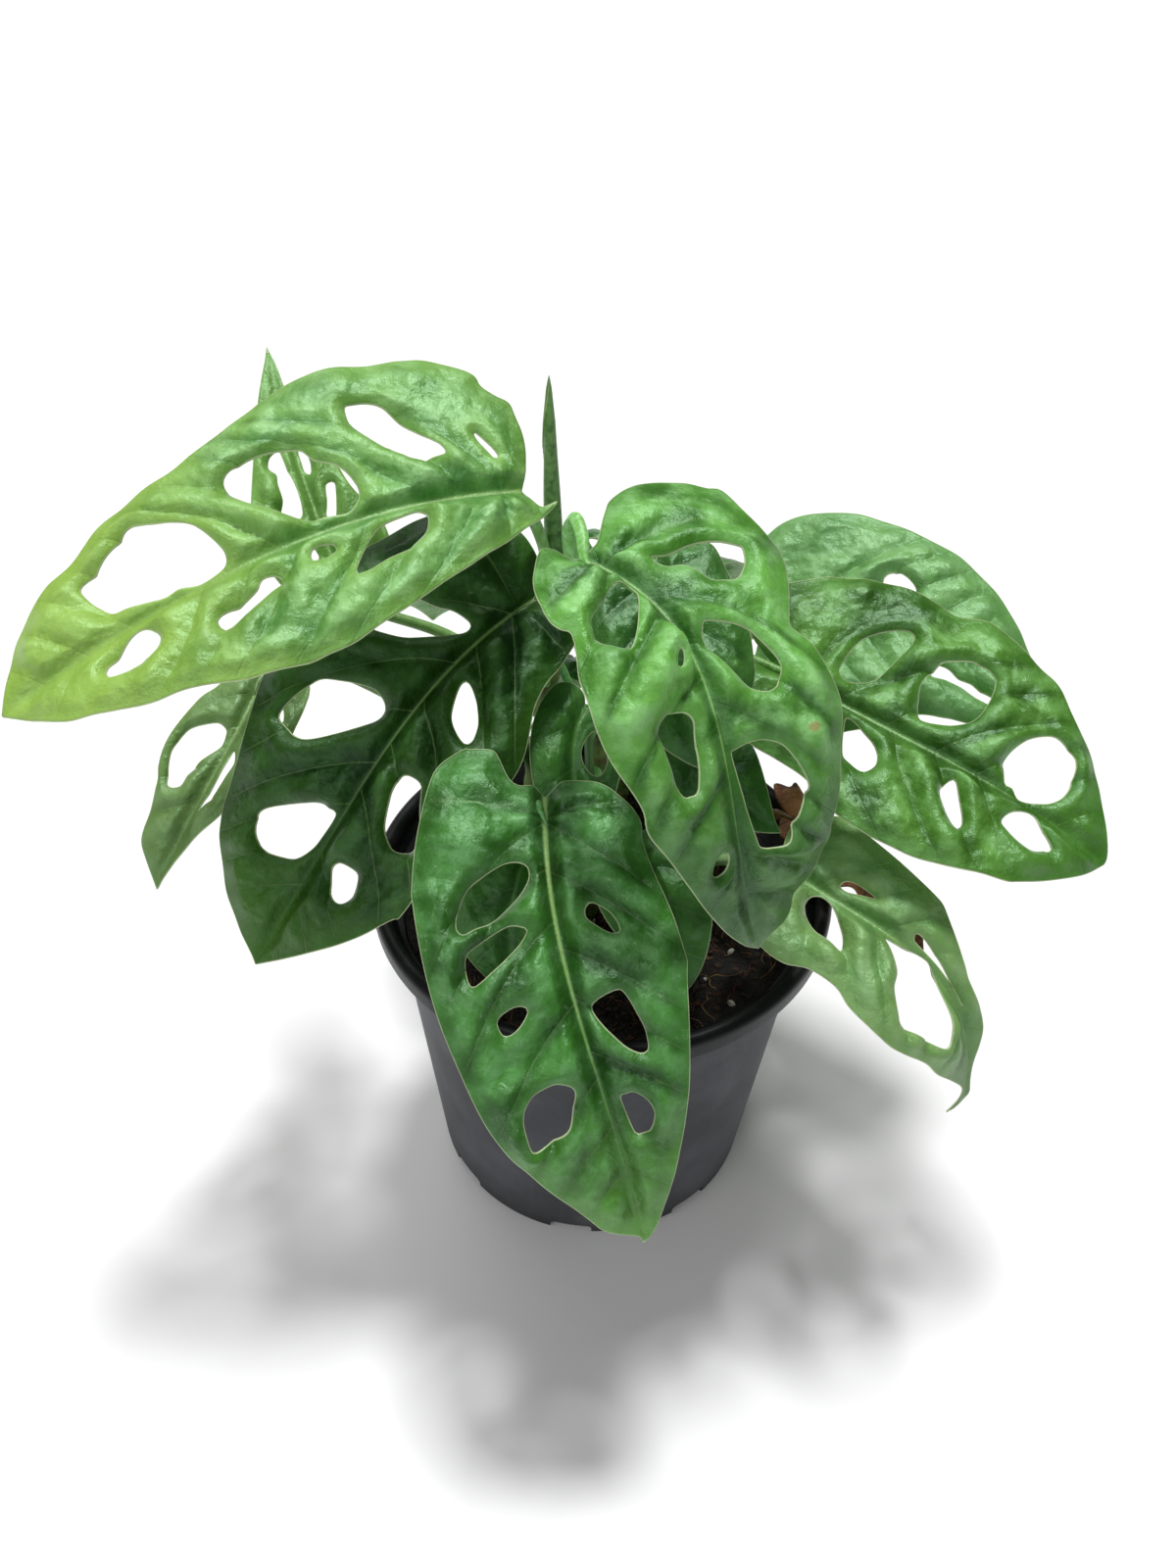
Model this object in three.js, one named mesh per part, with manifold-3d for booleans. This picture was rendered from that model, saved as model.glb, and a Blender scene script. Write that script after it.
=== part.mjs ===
// Monstera adansonii in a round nursery pot.
// Millimetres, +Z up. The origin is the centre of the pot's base.
// Each leaf is laid out flat first: x runs across it, y runs from the foot of its rib to its tip.
// It is then bent over its rib's curve. Leaf stalks grow out of four stems that stand in the soil.

import * as THREE from 'three';
import { mergeVertices } from 'three/addons/utils/BufferGeometryUtils.js';
import Module from 'manifold-3d';

const wasm = await Module();
wasm.setup();

// ---------- Driving dimensions ----------

const GAP = 0.3; // clearance between pieces that touch

const POT_HEIGHT = 128;
const RIM_RADIUS = 75;
const RIM_HEIGHT = 8;
const RIM_STEP = 7; // how far the rim stands out from the wall
const RIM_WIDTH = 5.5; // width of the thick rim, seen from above
const RIM_ROUND = 1.6; // rounding of the rim's upper edges
const RIM_TAPER = 0.4; // how much wider the rim is at its top than at its foot
const BASE_RADIUS = 58;
const BASE_ROUND = 3;
const WALL = 1.8;
const POT_SIDES = 52;

const SLOT_COUNT = 8; // drain slots round the foot of the wall
const SLOT_WIDTH = 15;
const SLOT_HEIGHT = 6;
const SLOT_DEPTH = 9;
const SLOT_TURN = 0.85; // where the first slot is, in steps between slots

const SOIL_LEVEL = 113;
const SOIL_BUMP = 1.6;
const SOIL_RINGS = 5;
const SOIL_SIDES = 40;
const ROOTED_DEPTH = 22; // how far the stems reach into the soil
const ROOT_ROOM = 0.5; // clearance round a stem in its hole

const STEM_RADIUS = 3;
const STALK_RADIUS = 1.9;
const SHEATH_RADIUS = 2.4; // the thicker foot of a leaf stalk
const STALK_STEPS = 9;
const SPEAR_SIDES = 8;
const SHEATH_STEPS = 4; // of the stalk's steps, those that the sheath covers

const BLADE = 0.8; // leaf thickness
const EDGE_STEPS = 18; // points along each side of a leaf
const HOLE_STEPS = 9; // points round each hole
const RIB_STEP = 9; // distance between points on the rib
const FILL_STEP = 11; // distance between points elsewhere in the blade
const CLEAR = 4.5; // least distance between those points and an edge
const RIB_DRIFT = 0.25; // how far the points on the rib stray from it
const ROW_SWEEP = 0.008; // how strongly the rows of points sweep forward
const RUFFLE_LENGTH = 38; // distance between the waves of a leaf's edge
const RUFFLE_REACH = 40; // distance from the rib at which a wave has its full height
const CURL_REACH = 40; // distance over which a leaf's curl is stated

// ---------- Leaf shapes ----------
// right and left are the margin's points from the foot of the rib to the tip.
// A hole runs from its inner end [x, y] to its outer end [x, y] and has a width.

const LEAF_SHAPES = {
  broad: {
    length: 151,
    right: [[6, -3], [19, -5], [30, -3], [43, 8], [49, 22], [50, 38], [46, 59], [38, 80], [33, 103],
      [25, 125], [13, 141]],
    left: [[-6, -7], [-15, 5], [-24, 23], [-31, 43], [-35, 60], [-36, 72], [-32, 90], [-26, 111],
      [-19, 126], [-8, 142]],
    holes: [[11, 20, 36, 38, 12], [4, 45, 29, 70, 20], [7, 80, 18, 117, 21], [10, 6, 19, 10, 3],
      [-5, 29, -18, 53, 10], [-7, 55, -10, 62, 4], [-10, 71, -15, 89, 5], [-7, 103, -10, 120, 8]],
  },
  drooping: {
    length: 137,
    right: [[6, -7], [19, -9], [32, -2], [42, 14], [47, 36], [47, 55], [43, 73], [37, 90], [34, 107],
      [25, 120], [11, 131]],
    left: [[-7, -6], [-18, -5], [-24, 10], [-29, 28], [-36, 44], [-38, 60], [-36, 76], [-33, 92],
      [-27, 106], [-14, 122]],
    holes: [[8, 51, 32, 71, 16], [3, 85, 20, 104, 16], [-9, 95, -16, 104, 9], [-12, 62, -23, 82, 12],
      [-8, 32, -21, 46, 7],
      [4, 20, 30, 37, 12]],
  },
  hanging: {
    length: 128,
    right: [[4, -4], [11, -8], [16, -13], [24, -13], [30, -5], [34, 8], [36, 27], [35, 44], [33, 64],
      [28, 86], [19, 105], [9, 119]],
    left: [[-4, -5], [-12, -5], [-20, 0], [-26, 11], [-29, 28], [-31, 45], [-29, 60], [-25, 74],
      [-20, 90], [-14, 104], [-6, 119]],
    holes: [[6, 20, 25, 33, 10], [8, 35, 25, 43, 7], [13, 54, 20, 57, 5], [9, 74, 21, 88, 13],
      [-9, 33, -16, 41, 5],
      [-8, 56, -14, 72, 9], [-7, 81, -8, 94, 8]],
  },
  arched: {
    length: 131,
    right: [[2, -8], [9, -10], [18, -4], [25, 7], [26, 19], [30, 31], [32, 47], [30, 62], [25, 77],
      [21, 88], [13, 104], [6, 119]],
    left: [[-6, 1], [-16, -3], [-29, -2], [-39, 4], [-46, 12], [-42, 24], [-34, 34], [-31, 42],
      [-34, 52], [-35, 62], [-30, 80],
      [-26, 98], [-16, 114]],
    holes: [[6, 14, 20, 34, 12], [8, 42, 10, 47, 3], [11, 55, 12, 75, 9], [5, 90, 9, 97, 5],
      [-9, 16, -29, 26, 9],
      [-6, 36, -18, 54, 13], [-10, 65, -11, 94, 17]],
  },
  round: {
    length: 111,
    right: [[1.5, -7], [5, -15], [13, -17], [21, -12], [28, 3], [29, 24], [35, 41], [35, 57], [32, 71],
      [25, 87], [15, 100]],
    left: [[-2, -9], [-7, -18], [-16, -20], [-29, -12], [-39, -3], [-45, 12], [-45, 32], [-48, 48], [-46, 61],
      [-38, 76], [-27, 91], [-13, 103]],
    holes: [[-7, 17, -31, 26, 14], [-7, 44, -32, 53, 19], [-4, 76, -23, 84, 17], [5, 26, 18, 40, 9],
      [8, 60, 19, 67, 5],
      [8, 78, 9, 94, 11]],
  },
  folded: {
    length: 94,
    right: [[4, -8], [14, -10], [23, -3], [26, 10], [24, 24], [26, 38], [26, 50], [22, 62], [14, 76],
      [7, 86]],
    left: [[-5, -8], [-14, -10], [-22, -3], [-23, 9], [-21, 20], [-18, 32], [-13, 44], [-8, 57],
      [-6, 70], [-3, 84]],
    holes: [[-5, 13, -8, 23, 4], [4, 9, 15, 24, 8], [4, 32, 14, 64, 16], [-4, 40, -3.6, 58, 2.6]],
  },
  behind: {
    length: 112,
    right: [[5, -7], [15, -10], [26, -6], [33, 4], [37, 20], [38, 40], [35, 58], [29, 70], [28, 80],
      [27, 90], [20, 101], [9, 108]],
    left: [[-5, -4], [-14, -6], [-23, -4], [-30, 2], [-34, 11], [-35, 28], [-33, 38], [-30, 49],
      [-26, 63], [-22, 73], [-17, 83], [-10, 94], [-3, 104]],
    holes: [[-9.5, 42.5, -12, 54, 8.5], [13.5, 70, 17.5, 93.5, 3.6], [6, 12, 18, 24, 8]],
  },
  narrow: {
    length: 112,
    right: [[7, -6], [13, 3], [17, 13], [21, 20], [23.5, 31], [25, 41], [24.5, 51], [23, 60], [20, 67],
      [18, 79], [17, 90], [15, 96], [10, 102], [4, 108]],
    left: [[-6, -7], [-15, -8], [-22, 0], [-25, 14], [-25, 32], [-22, 50], [-15, 64], [-13, 71],
      [-8, 81], [-4, 92], [-2, 102]],
    holes: [[8, 31, 14, 65, 13], [-4.5, 41, -4.5, 69.5, 5], [-6, 12, -19, 22, 8]],
  },
  inner: {
    length: 112,
    right: [[5, -7], [15, -9], [23, -3], [27, 10], [28, 30], [26, 50], [22, 70], [14, 90], [6, 103]],
    left: [[-5, -7], [-15, -9], [-24, -3], [-29, 10], [-31, 30], [-29, 50], [-23, 70], [-14, 90],
      [-6, 103]],
    holes: [[-10.5, 16.5, -15.5, 50, 13]],
  },
  opened: {
    length: 112,
    right: [[5, -7], [15, -9], [24, -3], [29, 10], [30, 30], [28, 50], [23, 70], [14, 90], [6, 103]],
    left: [[-5, -7], [-15, -9], [-24, -3], [-31, 10], [-35, 30], [-34, 50], [-27, 70], [-16, 90],
      [-6, 103]],
    holes: [[10, 10.5, 6.5, 34, 10.5]],
  },
  whole: {
    length: 112,
    right: [[5, -7], [15, -9], [24, -3], [29, 10], [30, 30], [28, 50], [23, 70], [14, 90], [6, 103]],
    left: [[-5, -7], [-15, -9], [-24, -3], [-29, 10], [-31, 30], [-29, 50], [-23, 70], [-14, 90],
      [-6, 103]],
    holes: [],
  },
  leaning: {
    length: 112,
    right: [[5, -7], [14, -9], [22, -3], [25, 10], [25.5, 28], [25, 46], [22, 66], [14, 88], [6, 103]],
    left: [[-5, -9], [-13, -9], [-20, -6], [-23, 3], [-25, 16], [-27, 32], [-28, 48], [-27, 70],
      [-22, 86], [-12, 100]],
    holes: [],
  },
  slender: {
    length: 100,
    right: [[5, -6], [13, -6], [20, 0], [22, 12], [19, 22], [15, 32], [13, 42], [9, 54], [5, 66],
      [3, 78], [2, 89]],
    left: [[-5, -6], [-13, -7], [-20, 1], [-24, 14], [-23, 26], [-21, 34], [-16, 49], [-12, 61],
      [-9, 72], [-5, 84], [-2, 93]],
    holes: [[-8.5, 26, -7.5, 51.5, 6], [2.4, 41.5, 2.4, 51.5, 2.6], [5, 23, 8.5, 35, 4.5],
      [-5, 8, -13, 17, 5], [6, 7, 12, 13, 4]],
  },
  withered: {
    length: 62,
    right: [[4, 0], [11, 10], [14.5, 21], [16.5, 31], [14.5, 41], [9, 50], [4, 56.5]],
    left: [[-3.5, -8], [-9, -14], [-13, -12.5], [-11, -3], [-7, 13], [-6, 27], [-5.5, 38], [-5, 48],
      [-3.5, 56]],
    holes: [],
  },
};

// ---------- Leaves on the plant ----------
// rib: four points that the rib passes through, from foot to tip.
// face: the way the blade looks at its foot and at its tip.
// fold: degrees that each half rises beside the rib. curl: degrees that it bends down again.
// stalk: points from the stem to the blade. wide: the blade's width against its length.

const GREEN_BRIGHT = '#5c8f3c';
const GREEN_DEEP = '#3f6f2f';
const GREEN_DARK = '#2f5526';
const GREEN_GREY = '#557a48';

const LEAVES = [
  {
    name: 'leaf_upper_left', shape: 'broad', stem: 'stem_left', color: '#7fa548',
    rib: [[-26, 20, 250], [-73, -2, 249], [-115, -22, 235], [-156, -39, 212]],
    face: [[0.1, -0.45, 0.9], [-0.25, -0.45, 0.85]], fold: 10, curl: 14, ruffle: 0.9,
    stalk: [[-19, 25, 180], [-20.5, 28.5, 197], [-20.5, 34, 211], [-20.5, 35, 222], [-23, 28, 236],
      [-27, 21, 247.5], [-33, 17, 249.6]],
  },
  {
    name: 'leaf_lower_left', shape: 'drooping', stem: 'stem_left', color: GREEN_DARK,
    rib: [[-23, 18, 217], [-54, -7, 197], [-78, -30, 167], [-101, -50, 132]],
    face: [[0.1, -0.5, 0.85], [-0.35, -0.5, 0.8]], fold: 12, curl: 16, ruffle: 0.9,
    stalk: [[-23, 16, 156], [-28, 11, 176], [-25, 15, 202], [-24, 16.5, 214], [-29, 13, 214.5]],
  },
  {
    name: 'leaf_front', shape: 'hanging', stem: 'stem_centre', color: GREEN_DEEP,
    rib: [[-17, -37, 189], [-11, -73, 168], [1, -98, 141], [13, -115, 100]],
    face: [[0, -0.6, 0.8], [0.05, -0.85, 0.5]], fold: 12, curl: 16, ruffle: 0.8,
    stalk: [[-5, -4, 128], [-20, -7, 156], [-23.5, -22, 177], [-20, -36, 187.5], [-16, -45, 185.6]],
  },
  {
    name: 'leaf_centre', shape: 'arched', stem: 'stem_centre', color: GREEN_BRIGHT,
    rib: [[-9, -7, 245], [19, -33, 234], [30, -58, 208], [42, -62, 159]],
    face: [[0.2, -0.3, 0.93], [0.35, -0.8, 0.5]], fold: 10, curl: 18, ruffle: 0.8,
    stalk: [[-3, 5, 162], [-3, 12, 179], [-10, 21, 205], [-12.5, 19, 230], [-13, 13, 243], [-11, 7, 249],
      [-9, -1, 248], [-8, -8, 244.6], [-3, -13, 243]],
  },
  {
    name: 'leaf_right', shape: 'round', stem: 'stem_right', color: '#4d7d3a',
    rib: [[54, 26, 189], [85, 4, 184], [115, -14, 177], [145, -28, 162]],
    face: [[0, -0.5, 0.87], [0.3, -0.5, 0.8]], fold: 10, curl: 12, ruffle: 0.9,
    stalk: [[23, 14, 142], [12, 14, 152], [9, 18, 164], [16, 30, 180], [34, 36, 189], [54, 26, 189],
      [60, 21, 187.6]],
  },
  {
    name: 'leaf_low_right', shape: 'folded', stem: 'stem_right', color: GREEN_GREY,
    rib: [[57, -25, 151], [80, -43, 148], [100, -56, 135], [110, -65, 103]],
    face: [[0.1, -0.5, 0.87], [0.35, -0.7, 0.6]], fold: 14, curl: 16, ruffle: 0.6,
    stalk: [[26, 6, 124], [38, -8, 140], [51, -20, 150], [57, -25, 150.4], [62, -29, 150]],
  },
  {
    name: 'leaf_right_behind', shape: 'behind', stem: 'stem_back', color: GREEN_GREY, wide: 1.35,
    rib: [[58, 77, 173], [86, 68, 183], [115, 56, 185], [145, 47, 176]],
    face: [[0, -0.55, 0.83], [0.3, -0.5, 0.8]], fold: 10, curl: 14, ruffle: 0.8,
    stalk: [[11, 39, 152], [32, 60, 158], [50, 77, 169], [58, 77, 172.4], [65, 75, 175.6]],
  },
  {
    name: 'leaf_small_left', shape: 'narrow', stem: 'stem_left', color: GREEN_GREY, wide: 1.1,
    rib: [[-110, 30, 178], [-118, 7, 166], [-127, -12, 153], [-136, -26, 137]],
    face: [[0, -0.5, 0.87], [-0.3, -0.5, 0.8]], fold: 12, curl: 16, ruffle: 0.6,
    stalk: [[-25, 11, 130], [-60, 38, 156], [-98, 42, 176], [-110, 31, 178], [-112, 24, 175.6]],
  },
  {
    name: 'leaf_upright_left', shape: 'slender', stem: 'stem_left', color: GREEN_GREY,
    rib: [[-86, 47, 205], [-96, 65, 221], [-106, 86, 236], [-117, 114, 253]],
    face: [[0.2, -0.6, 0.8], [0.1, -0.6, 0.8]], fold: 12, curl: 14, ruffle: 0.5,
    stalk: [[-21, 23, 172], [-48, 36, 190], [-76, 38, 200], [-86, 46, 204], [-89, 52, 209.4]],
  },
  {
    name: 'leaf_shaded_centre', shape: 'inner', stem: 'stem_centre', color: GREEN_DARK, wide: 1.08,
    rib: [[-7, 1, 191], [-10, -10, 185], [-9, -22, 174], [-5, -32, 158]],
    face: [[0.25, -0.6, 0.8], [0.1, -0.75, 0.65]], fold: 10, curl: 14, ruffle: 0.6,
    stalk: [[-3, 3, 152], [-5, 0, 168], [-6, 3, 182], [-7, 3, 190], [-8, -2, 190]],
  },
  {
    name: 'leaf_shaded_front', shape: 'whole', stem: 'stem_centre', color: GREEN_DARK, wide: 1.25,
    rib: [[8, -21, 156], [14, -34, 151], [20, -45, 142], [23, -54, 127]],
    face: [[0, -0.5, 0.87], [0.15, -0.7, 0.7]], fold: 10, curl: 14, ruffle: 0.6,
    stalk: [[-4, -6, 119], [0, -11, 136], [4, -15, 150], [7, -20, 155.4], [10, -25, 154.2]],
  },
  {
    name: 'leaf_shaded_left', shape: 'whole', stem: 'stem_left', color: GREEN_DARK, wide: 1.5,
    rib: [[-21, -17, 159], [-25, -30, 152], [-27, -41, 141], [-24, -51, 122]],
    face: [[-0.1, -0.5, 0.87], [-0.1, -0.7, 0.7]], fold: 10, curl: 14, ruffle: 0.6,
    stalk: [[-25, 9, 122], [-28, 0, 138], [-27, -9, 152], [-22, -16.5, 158.2], [-22, -21, 157.6]],
  },
  {
    name: 'leaf_shaded_right', shape: 'opened', stem: 'stem_right', color: GREEN_DARK,
    rib: [[22, 34, 162], [32, 21, 155.5], [43.5, 7, 151], [56, -2, 147]],
    face: [[0.1, -0.5, 0.87], [0.1, -0.7, 0.7]], fold: 10, curl: 14, ruffle: 0.5,
    stalk: [[26, 10, 128], [30, 26, 143], [26, 38, 157], [22, 35, 161.6], [25, 30, 160.4]],
  },
  {
    name: 'leaf_shaded_back', shape: 'leaning', stem: 'stem_back', color: GREEN_DARK, wide: 1.45,
    rib: [[13, 46, 215], [17, 25, 204], [21, 9, 191], [28, -2, 172]],
    face: [[0.1, -0.6, 0.8], [0.2, -0.7, 0.7]], fold: 10, curl: 14, ruffle: 0.6,
    stalk: [[10, 38, 148], [6.5, 36, 160], [7, 42, 188], [10, 50, 207], [12.5, 48.5, 214.2],
      [14, 41, 212.6]],
  },
  {
    name: 'leaf_back_left', shape: 'drooping', stem: 'stem_back', color: GREEN_DEEP,
    rib: [[-24, 58, 190], [-40, 84, 182], [-56, 108, 166], [-70, 126, 140]],
    face: [[0, 0.35, 0.9], [-0.3, 0.6, 0.7]], fold: 12, curl: 16, ruffle: 0.8,
    stalk: [[6, 35, 134], [-8, 40, 160], [-20, 50, 182], [-24, 57, 189], [-28, 64, 188.4]],
  },
  {
    name: 'leaf_back_right', shape: 'round', stem: 'stem_back', color: GREEN_DEEP,
    rib: [[8, 70, 194], [18, 96, 188], [28, 118, 172], [36, 134, 148]],
    face: [[0.1, 0.35, 0.9], [0.2, 0.6, 0.7]], fold: 12, curl: 16, ruffle: 0.8,
    stalk: [[15, 43, 158], [14, 52, 178], [9, 64, 191], [8, 70, 193.4], [10, 77, 192.8]],
  },
  {
    name: 'leaf_back_low', shape: 'hanging', stem: 'stem_back', color: GREEN_DEEP,
    rib: [[-4, 62, 158], [-12, 84, 152], [-17, 99, 136], [-20, 106, 112]],
    face: [[0, 0.5, 0.87], [-0.1, 0.9, 0.4]], fold: 12, curl: 16, ruffle: 0.6,
    stalk: [[5, 34, 126], [-2, 44, 142], [-4, 57, 156], [-4.5, 63, 157.6], [-6, 69, 157]],
  },
  {
    name: 'dried_leaf', shape: 'withered', color: '#7a4526',
    rib: [[63, 22, 131.5], [79, 3, 134], [92, -12, 130], [102, -26, 119]],
    face: [[0.2, -0.3, 0.9], [0.4, -0.3, 0.85]], fold: 22, curl: 55, ruffle: 3,
    stalk: [[48, 26, 92], [48, 26, 104], [48, 26, 115], [51, 27, 122], [57, 26.5, 129.4], [63, 22, 131.3],
      [67.5, 16.5, 132.4]],
  },
];

// New growth rises from the top of a stem as a leaf that is still rolled up.
// axis: points from the stem to the tip. profile: the radius at shares of the axis's length.

const SPEAR = {
  name: 'new_leaf_spear', stem: 'stem_left', color: '#5d8a45',
  axis: [[-16, 30, 191], [-14.8, 35.5, 204], [-16.3, 38, 219], [-17, 35.5, 252], [-20, 34, 277]],
  profile: [[2.2, 0], [2.6, 0.35], [2.2, 0.6], [1.4, 0.85], [0.4, 1]],
};

// ---------- Stems ----------
// Points of each stem's axis above the soil, from the soil up.

const STEMS = {
  stem_left: [[-25, 8, 116], [-25, 11, 132], [-22, 19, 164], [-16, 30, 194]],
  stem_centre: [[-4, -7, 116], [-5, -4, 130], [-3, 4, 156], [-2, 9, 176]],
  stem_right: [[25, 4, 116], [24.5, 6, 126], [23, 13, 141], [24, 17, 149]],
  stem_back: [[4, 33, 116], [6, 35, 132], [11, 39, 152], [15, 43, 160]],
};

// ---------- Solids ----------

function vector(point) {
  return new THREE.Vector3(...point);
}

function toSolid(geometry) {
  const bare = new THREE.BufferGeometry();
  bare.setAttribute('position', geometry.getAttribute('position'));
  bare.setIndex(geometry.getIndex());
  const merged = mergeVertices(bare, 1e-3);
  const vertProperties = Float32Array.from(merged.getAttribute('position').array);
  const triVerts = Uint32Array.from(merged.getIndex().array);
  return new wasm.Manifold(new wasm.Mesh({ numProp: 3, vertProperties, triVerts }));
}

function toGeometry(solid) {
  const mesh = solid.getMesh();
  const geometry = new THREE.BufferGeometry();
  geometry.setAttribute('position', new THREE.BufferAttribute(mesh.vertProperties, 3));
  geometry.setIndex(new THREE.BufferAttribute(mesh.triVerts, 1));
  geometry.computeVertexNormals();
  return geometry;
}

function tube(points, radius, sides, steps) {
  const ring = new THREE.Shape();
  for (let i = 0; i < sides; i += 1) {
    const turn = (2 * Math.PI * i) / sides;
    const x = radius * Math.cos(turn);
    const y = radius * Math.sin(turn);
    if (i === 0) ring.moveTo(x, y);
    else ring.lineTo(x, y);
  }
  ring.closePath();
  const extrudePath = new THREE.CatmullRomCurve3(points.map(vector));
  return new THREE.ExtrudeGeometry(ring, { steps, extrudePath, bevelEnabled: false });
}

function mesh(name, solid, color, roughness) {
  const material = new THREE.MeshStandardMaterial({ color, roughness, metalness: 0, flatShading: true });
  const piece = new THREE.Mesh(toGeometry(solid), material);
  piece.name = name;
  return piece;
}

// ---------- Flat leaves ----------

function sideEdge(points, length) {
  const through = [[0, 0], ...points, [0, length]].map(([x, y]) => new THREE.Vector2(x, y));
  return new THREE.SplineCurve(through).getSpacedPoints(EDGE_STEPS);
}

function holeLoop([innerX, innerY, outerX, outerY, width]) {
  const middle = new THREE.Vector2((innerX + outerX) / 2, (innerY + outerY) / 2);
  const reach = new THREE.Vector2((outerX - innerX) / 2, (outerY - innerY) / 2);
  const across = new THREE.Vector2(-reach.y, reach.x).setLength(width / 2);
  const loop = [];
  for (let i = 0; i < HOLE_STEPS; i += 1) {
    const turn = (2 * Math.PI * i) / HOLE_STEPS;
    const point = middle.clone().addScaledVector(reach, Math.cos(turn));
    loop.push(point.addScaledVector(across, Math.sin(turn)));
  }
  return loop;
}

function isInside(point, loop) {
  let inside = false;
  loop.forEach((a, i) => {
    const b = loop[(i + 1) % loop.length];
    const spans = a.y > point.y !== b.y > point.y;
    if (spans && point.x < ((b.x - a.x) * (point.y - a.y)) / (b.y - a.y) + a.x) inside = !inside;
  });
  return inside;
}

function distanceToLoop(point, loop) {
  const nearest = new THREE.Vector3();
  const spot = new THREE.Vector3(point.x, point.y, 0);
  const distances = loop.map((a, i) => {
    const b = loop[(i + 1) % loop.length];
    const side = new THREE.Line3(new THREE.Vector3(a.x, a.y, 0), new THREE.Vector3(b.x, b.y, 0));
    return side.closestPointToPoint(spot, true, nearest).distanceTo(spot);
  });
  return Math.min(...distances);
}

// Points inside the blade: a row along the rib, and staggered rows that sweep forward on both sides.
// No three of them lie on one straight line, which the split into triangles needs.
function fillPoints(outline, holes, length) {
  const fill = [];
  const add = (x, y, clear) => {
    const point = new THREE.Vector2(x, y);
    const free = [outline, ...holes].every((loop) => distanceToLoop(point, loop) > clear);
    if (free && isInside(point, outline) && !holes.some((hole) => isInside(point, hole))) fill.push(point);
  };
  const ribCount = Math.floor(length / RIB_STEP);
  for (let i = 0; i < ribCount; i += 1) add(RIB_DRIFT * Math.cos(2.4 * i), (i + 0.6) * RIB_STEP, 1);
  for (let row = -2; row * FILL_STEP < length; row += 1) {
    for (let column = 1; column < 6; column += 1) {
      const x = (column - (row % 2 === 0 ? 0 : 0.5)) * FILL_STEP + RIB_DRIFT * Math.sin(2.4 * row);
      const y = row * FILL_STEP + x * x * ROW_SWEEP;
      add(x, y, CLEAR);
      add(-x, y + RIB_DRIFT, CLEAR);
    }
  }
  return fill;
}

// Swaps the shared side of two triangles wherever that makes both rounder.
function evenOut(points, faces) {
  const cross = (a, b, c) => (b.x - a.x) * (c.y - a.y) - (b.y - a.y) * (c.x - a.x);
  const angleAt = (a, b, c) => {
    const toA = new THREE.Vector2().subVectors(a, b);
    const toC = new THREE.Vector2().subVectors(c, b);
    return Math.abs(toA.angleTo(toC));
  };
  let swapped = true;
  for (let pass = 0; swapped && pass < 60; pass += 1) {
    swapped = false;
    const owners = new Map();
    const touched = new Set();
    faces.forEach(([a, b, c], index) => {
      owners.set(`${a},${b}`, [index, c]);
      owners.set(`${b},${c}`, [index, a]);
      owners.set(`${c},${a}`, [index, b]);
    });
    for (const [side, [index, far]] of owners) {
      const [a, b] = side.split(',').map(Number);
      const other = owners.get(`${b},${a}`);
      if (!other || touched.has(index) || touched.has(other[0])) continue;
      const near = other[1];
      const [A, B, F, N] = [a, b, far, near].map((i) => points[i]);
      const opposite = angleAt(A, F, B) + angleAt(A, N, B);
      if (opposite <= Math.PI + 1e-6 || cross(N, B, F) <= 1e-6 || cross(F, A, N) <= 1e-6) continue;
      faces[index] = [near, b, far];
      faces[other[0]] = [far, a, near];
      touched.add(index);
      touched.add(other[0]);
      swapped = true;
    }
  }
  return faces;
}

function flatLeaf(shape) {
  const right = sideEdge(shape.right, shape.length);
  const left = sideEdge(shape.left, shape.length);
  const outline = [...right, ...left.slice(1, -1).reverse()];
  const holes = shape.holes.map(holeLoop);
  if (THREE.ShapeUtils.isClockWise(outline)) outline.reverse();
  holes.filter((hole) => !THREE.ShapeUtils.isClockWise(hole)).forEach((hole) => hole.reverse());
  const fill = fillPoints(outline, holes, shape.length);
  const points = [outline, ...holes, fill].flat();
  const faces = THREE.ShapeUtils.triangulateShape(outline, [...holes, ...fill.map((point) => [point])]);
  const upright = faces.map(([a, b, c]) => {
    const corners = [points[a], points[b], points[c]];
    return THREE.ShapeUtils.area(corners) > 0 ? [a, b, c] : [a, c, b];
  });
  return { points, loops: [outline, ...holes], faces: evenOut(points, upright) };
}

// ---------- Bent leaves ----------

// The cubic curve that passes through four points at equal shares of its parameter.
function ribCurve(rib) {
  const [foot, second, third, tip] = rib.map(vector);
  const mix = (a, b, c, d) => new THREE.Vector3()
    .addScaledVector(foot, a / 6).addScaledVector(second, b / 6)
    .addScaledVector(third, c / 6).addScaledVector(tip, d / 6);
  return new THREE.CubicBezierCurve3(foot, mix(-5, 18, -9, 2), mix(2, -9, 18, -5), tip);
}

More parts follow.
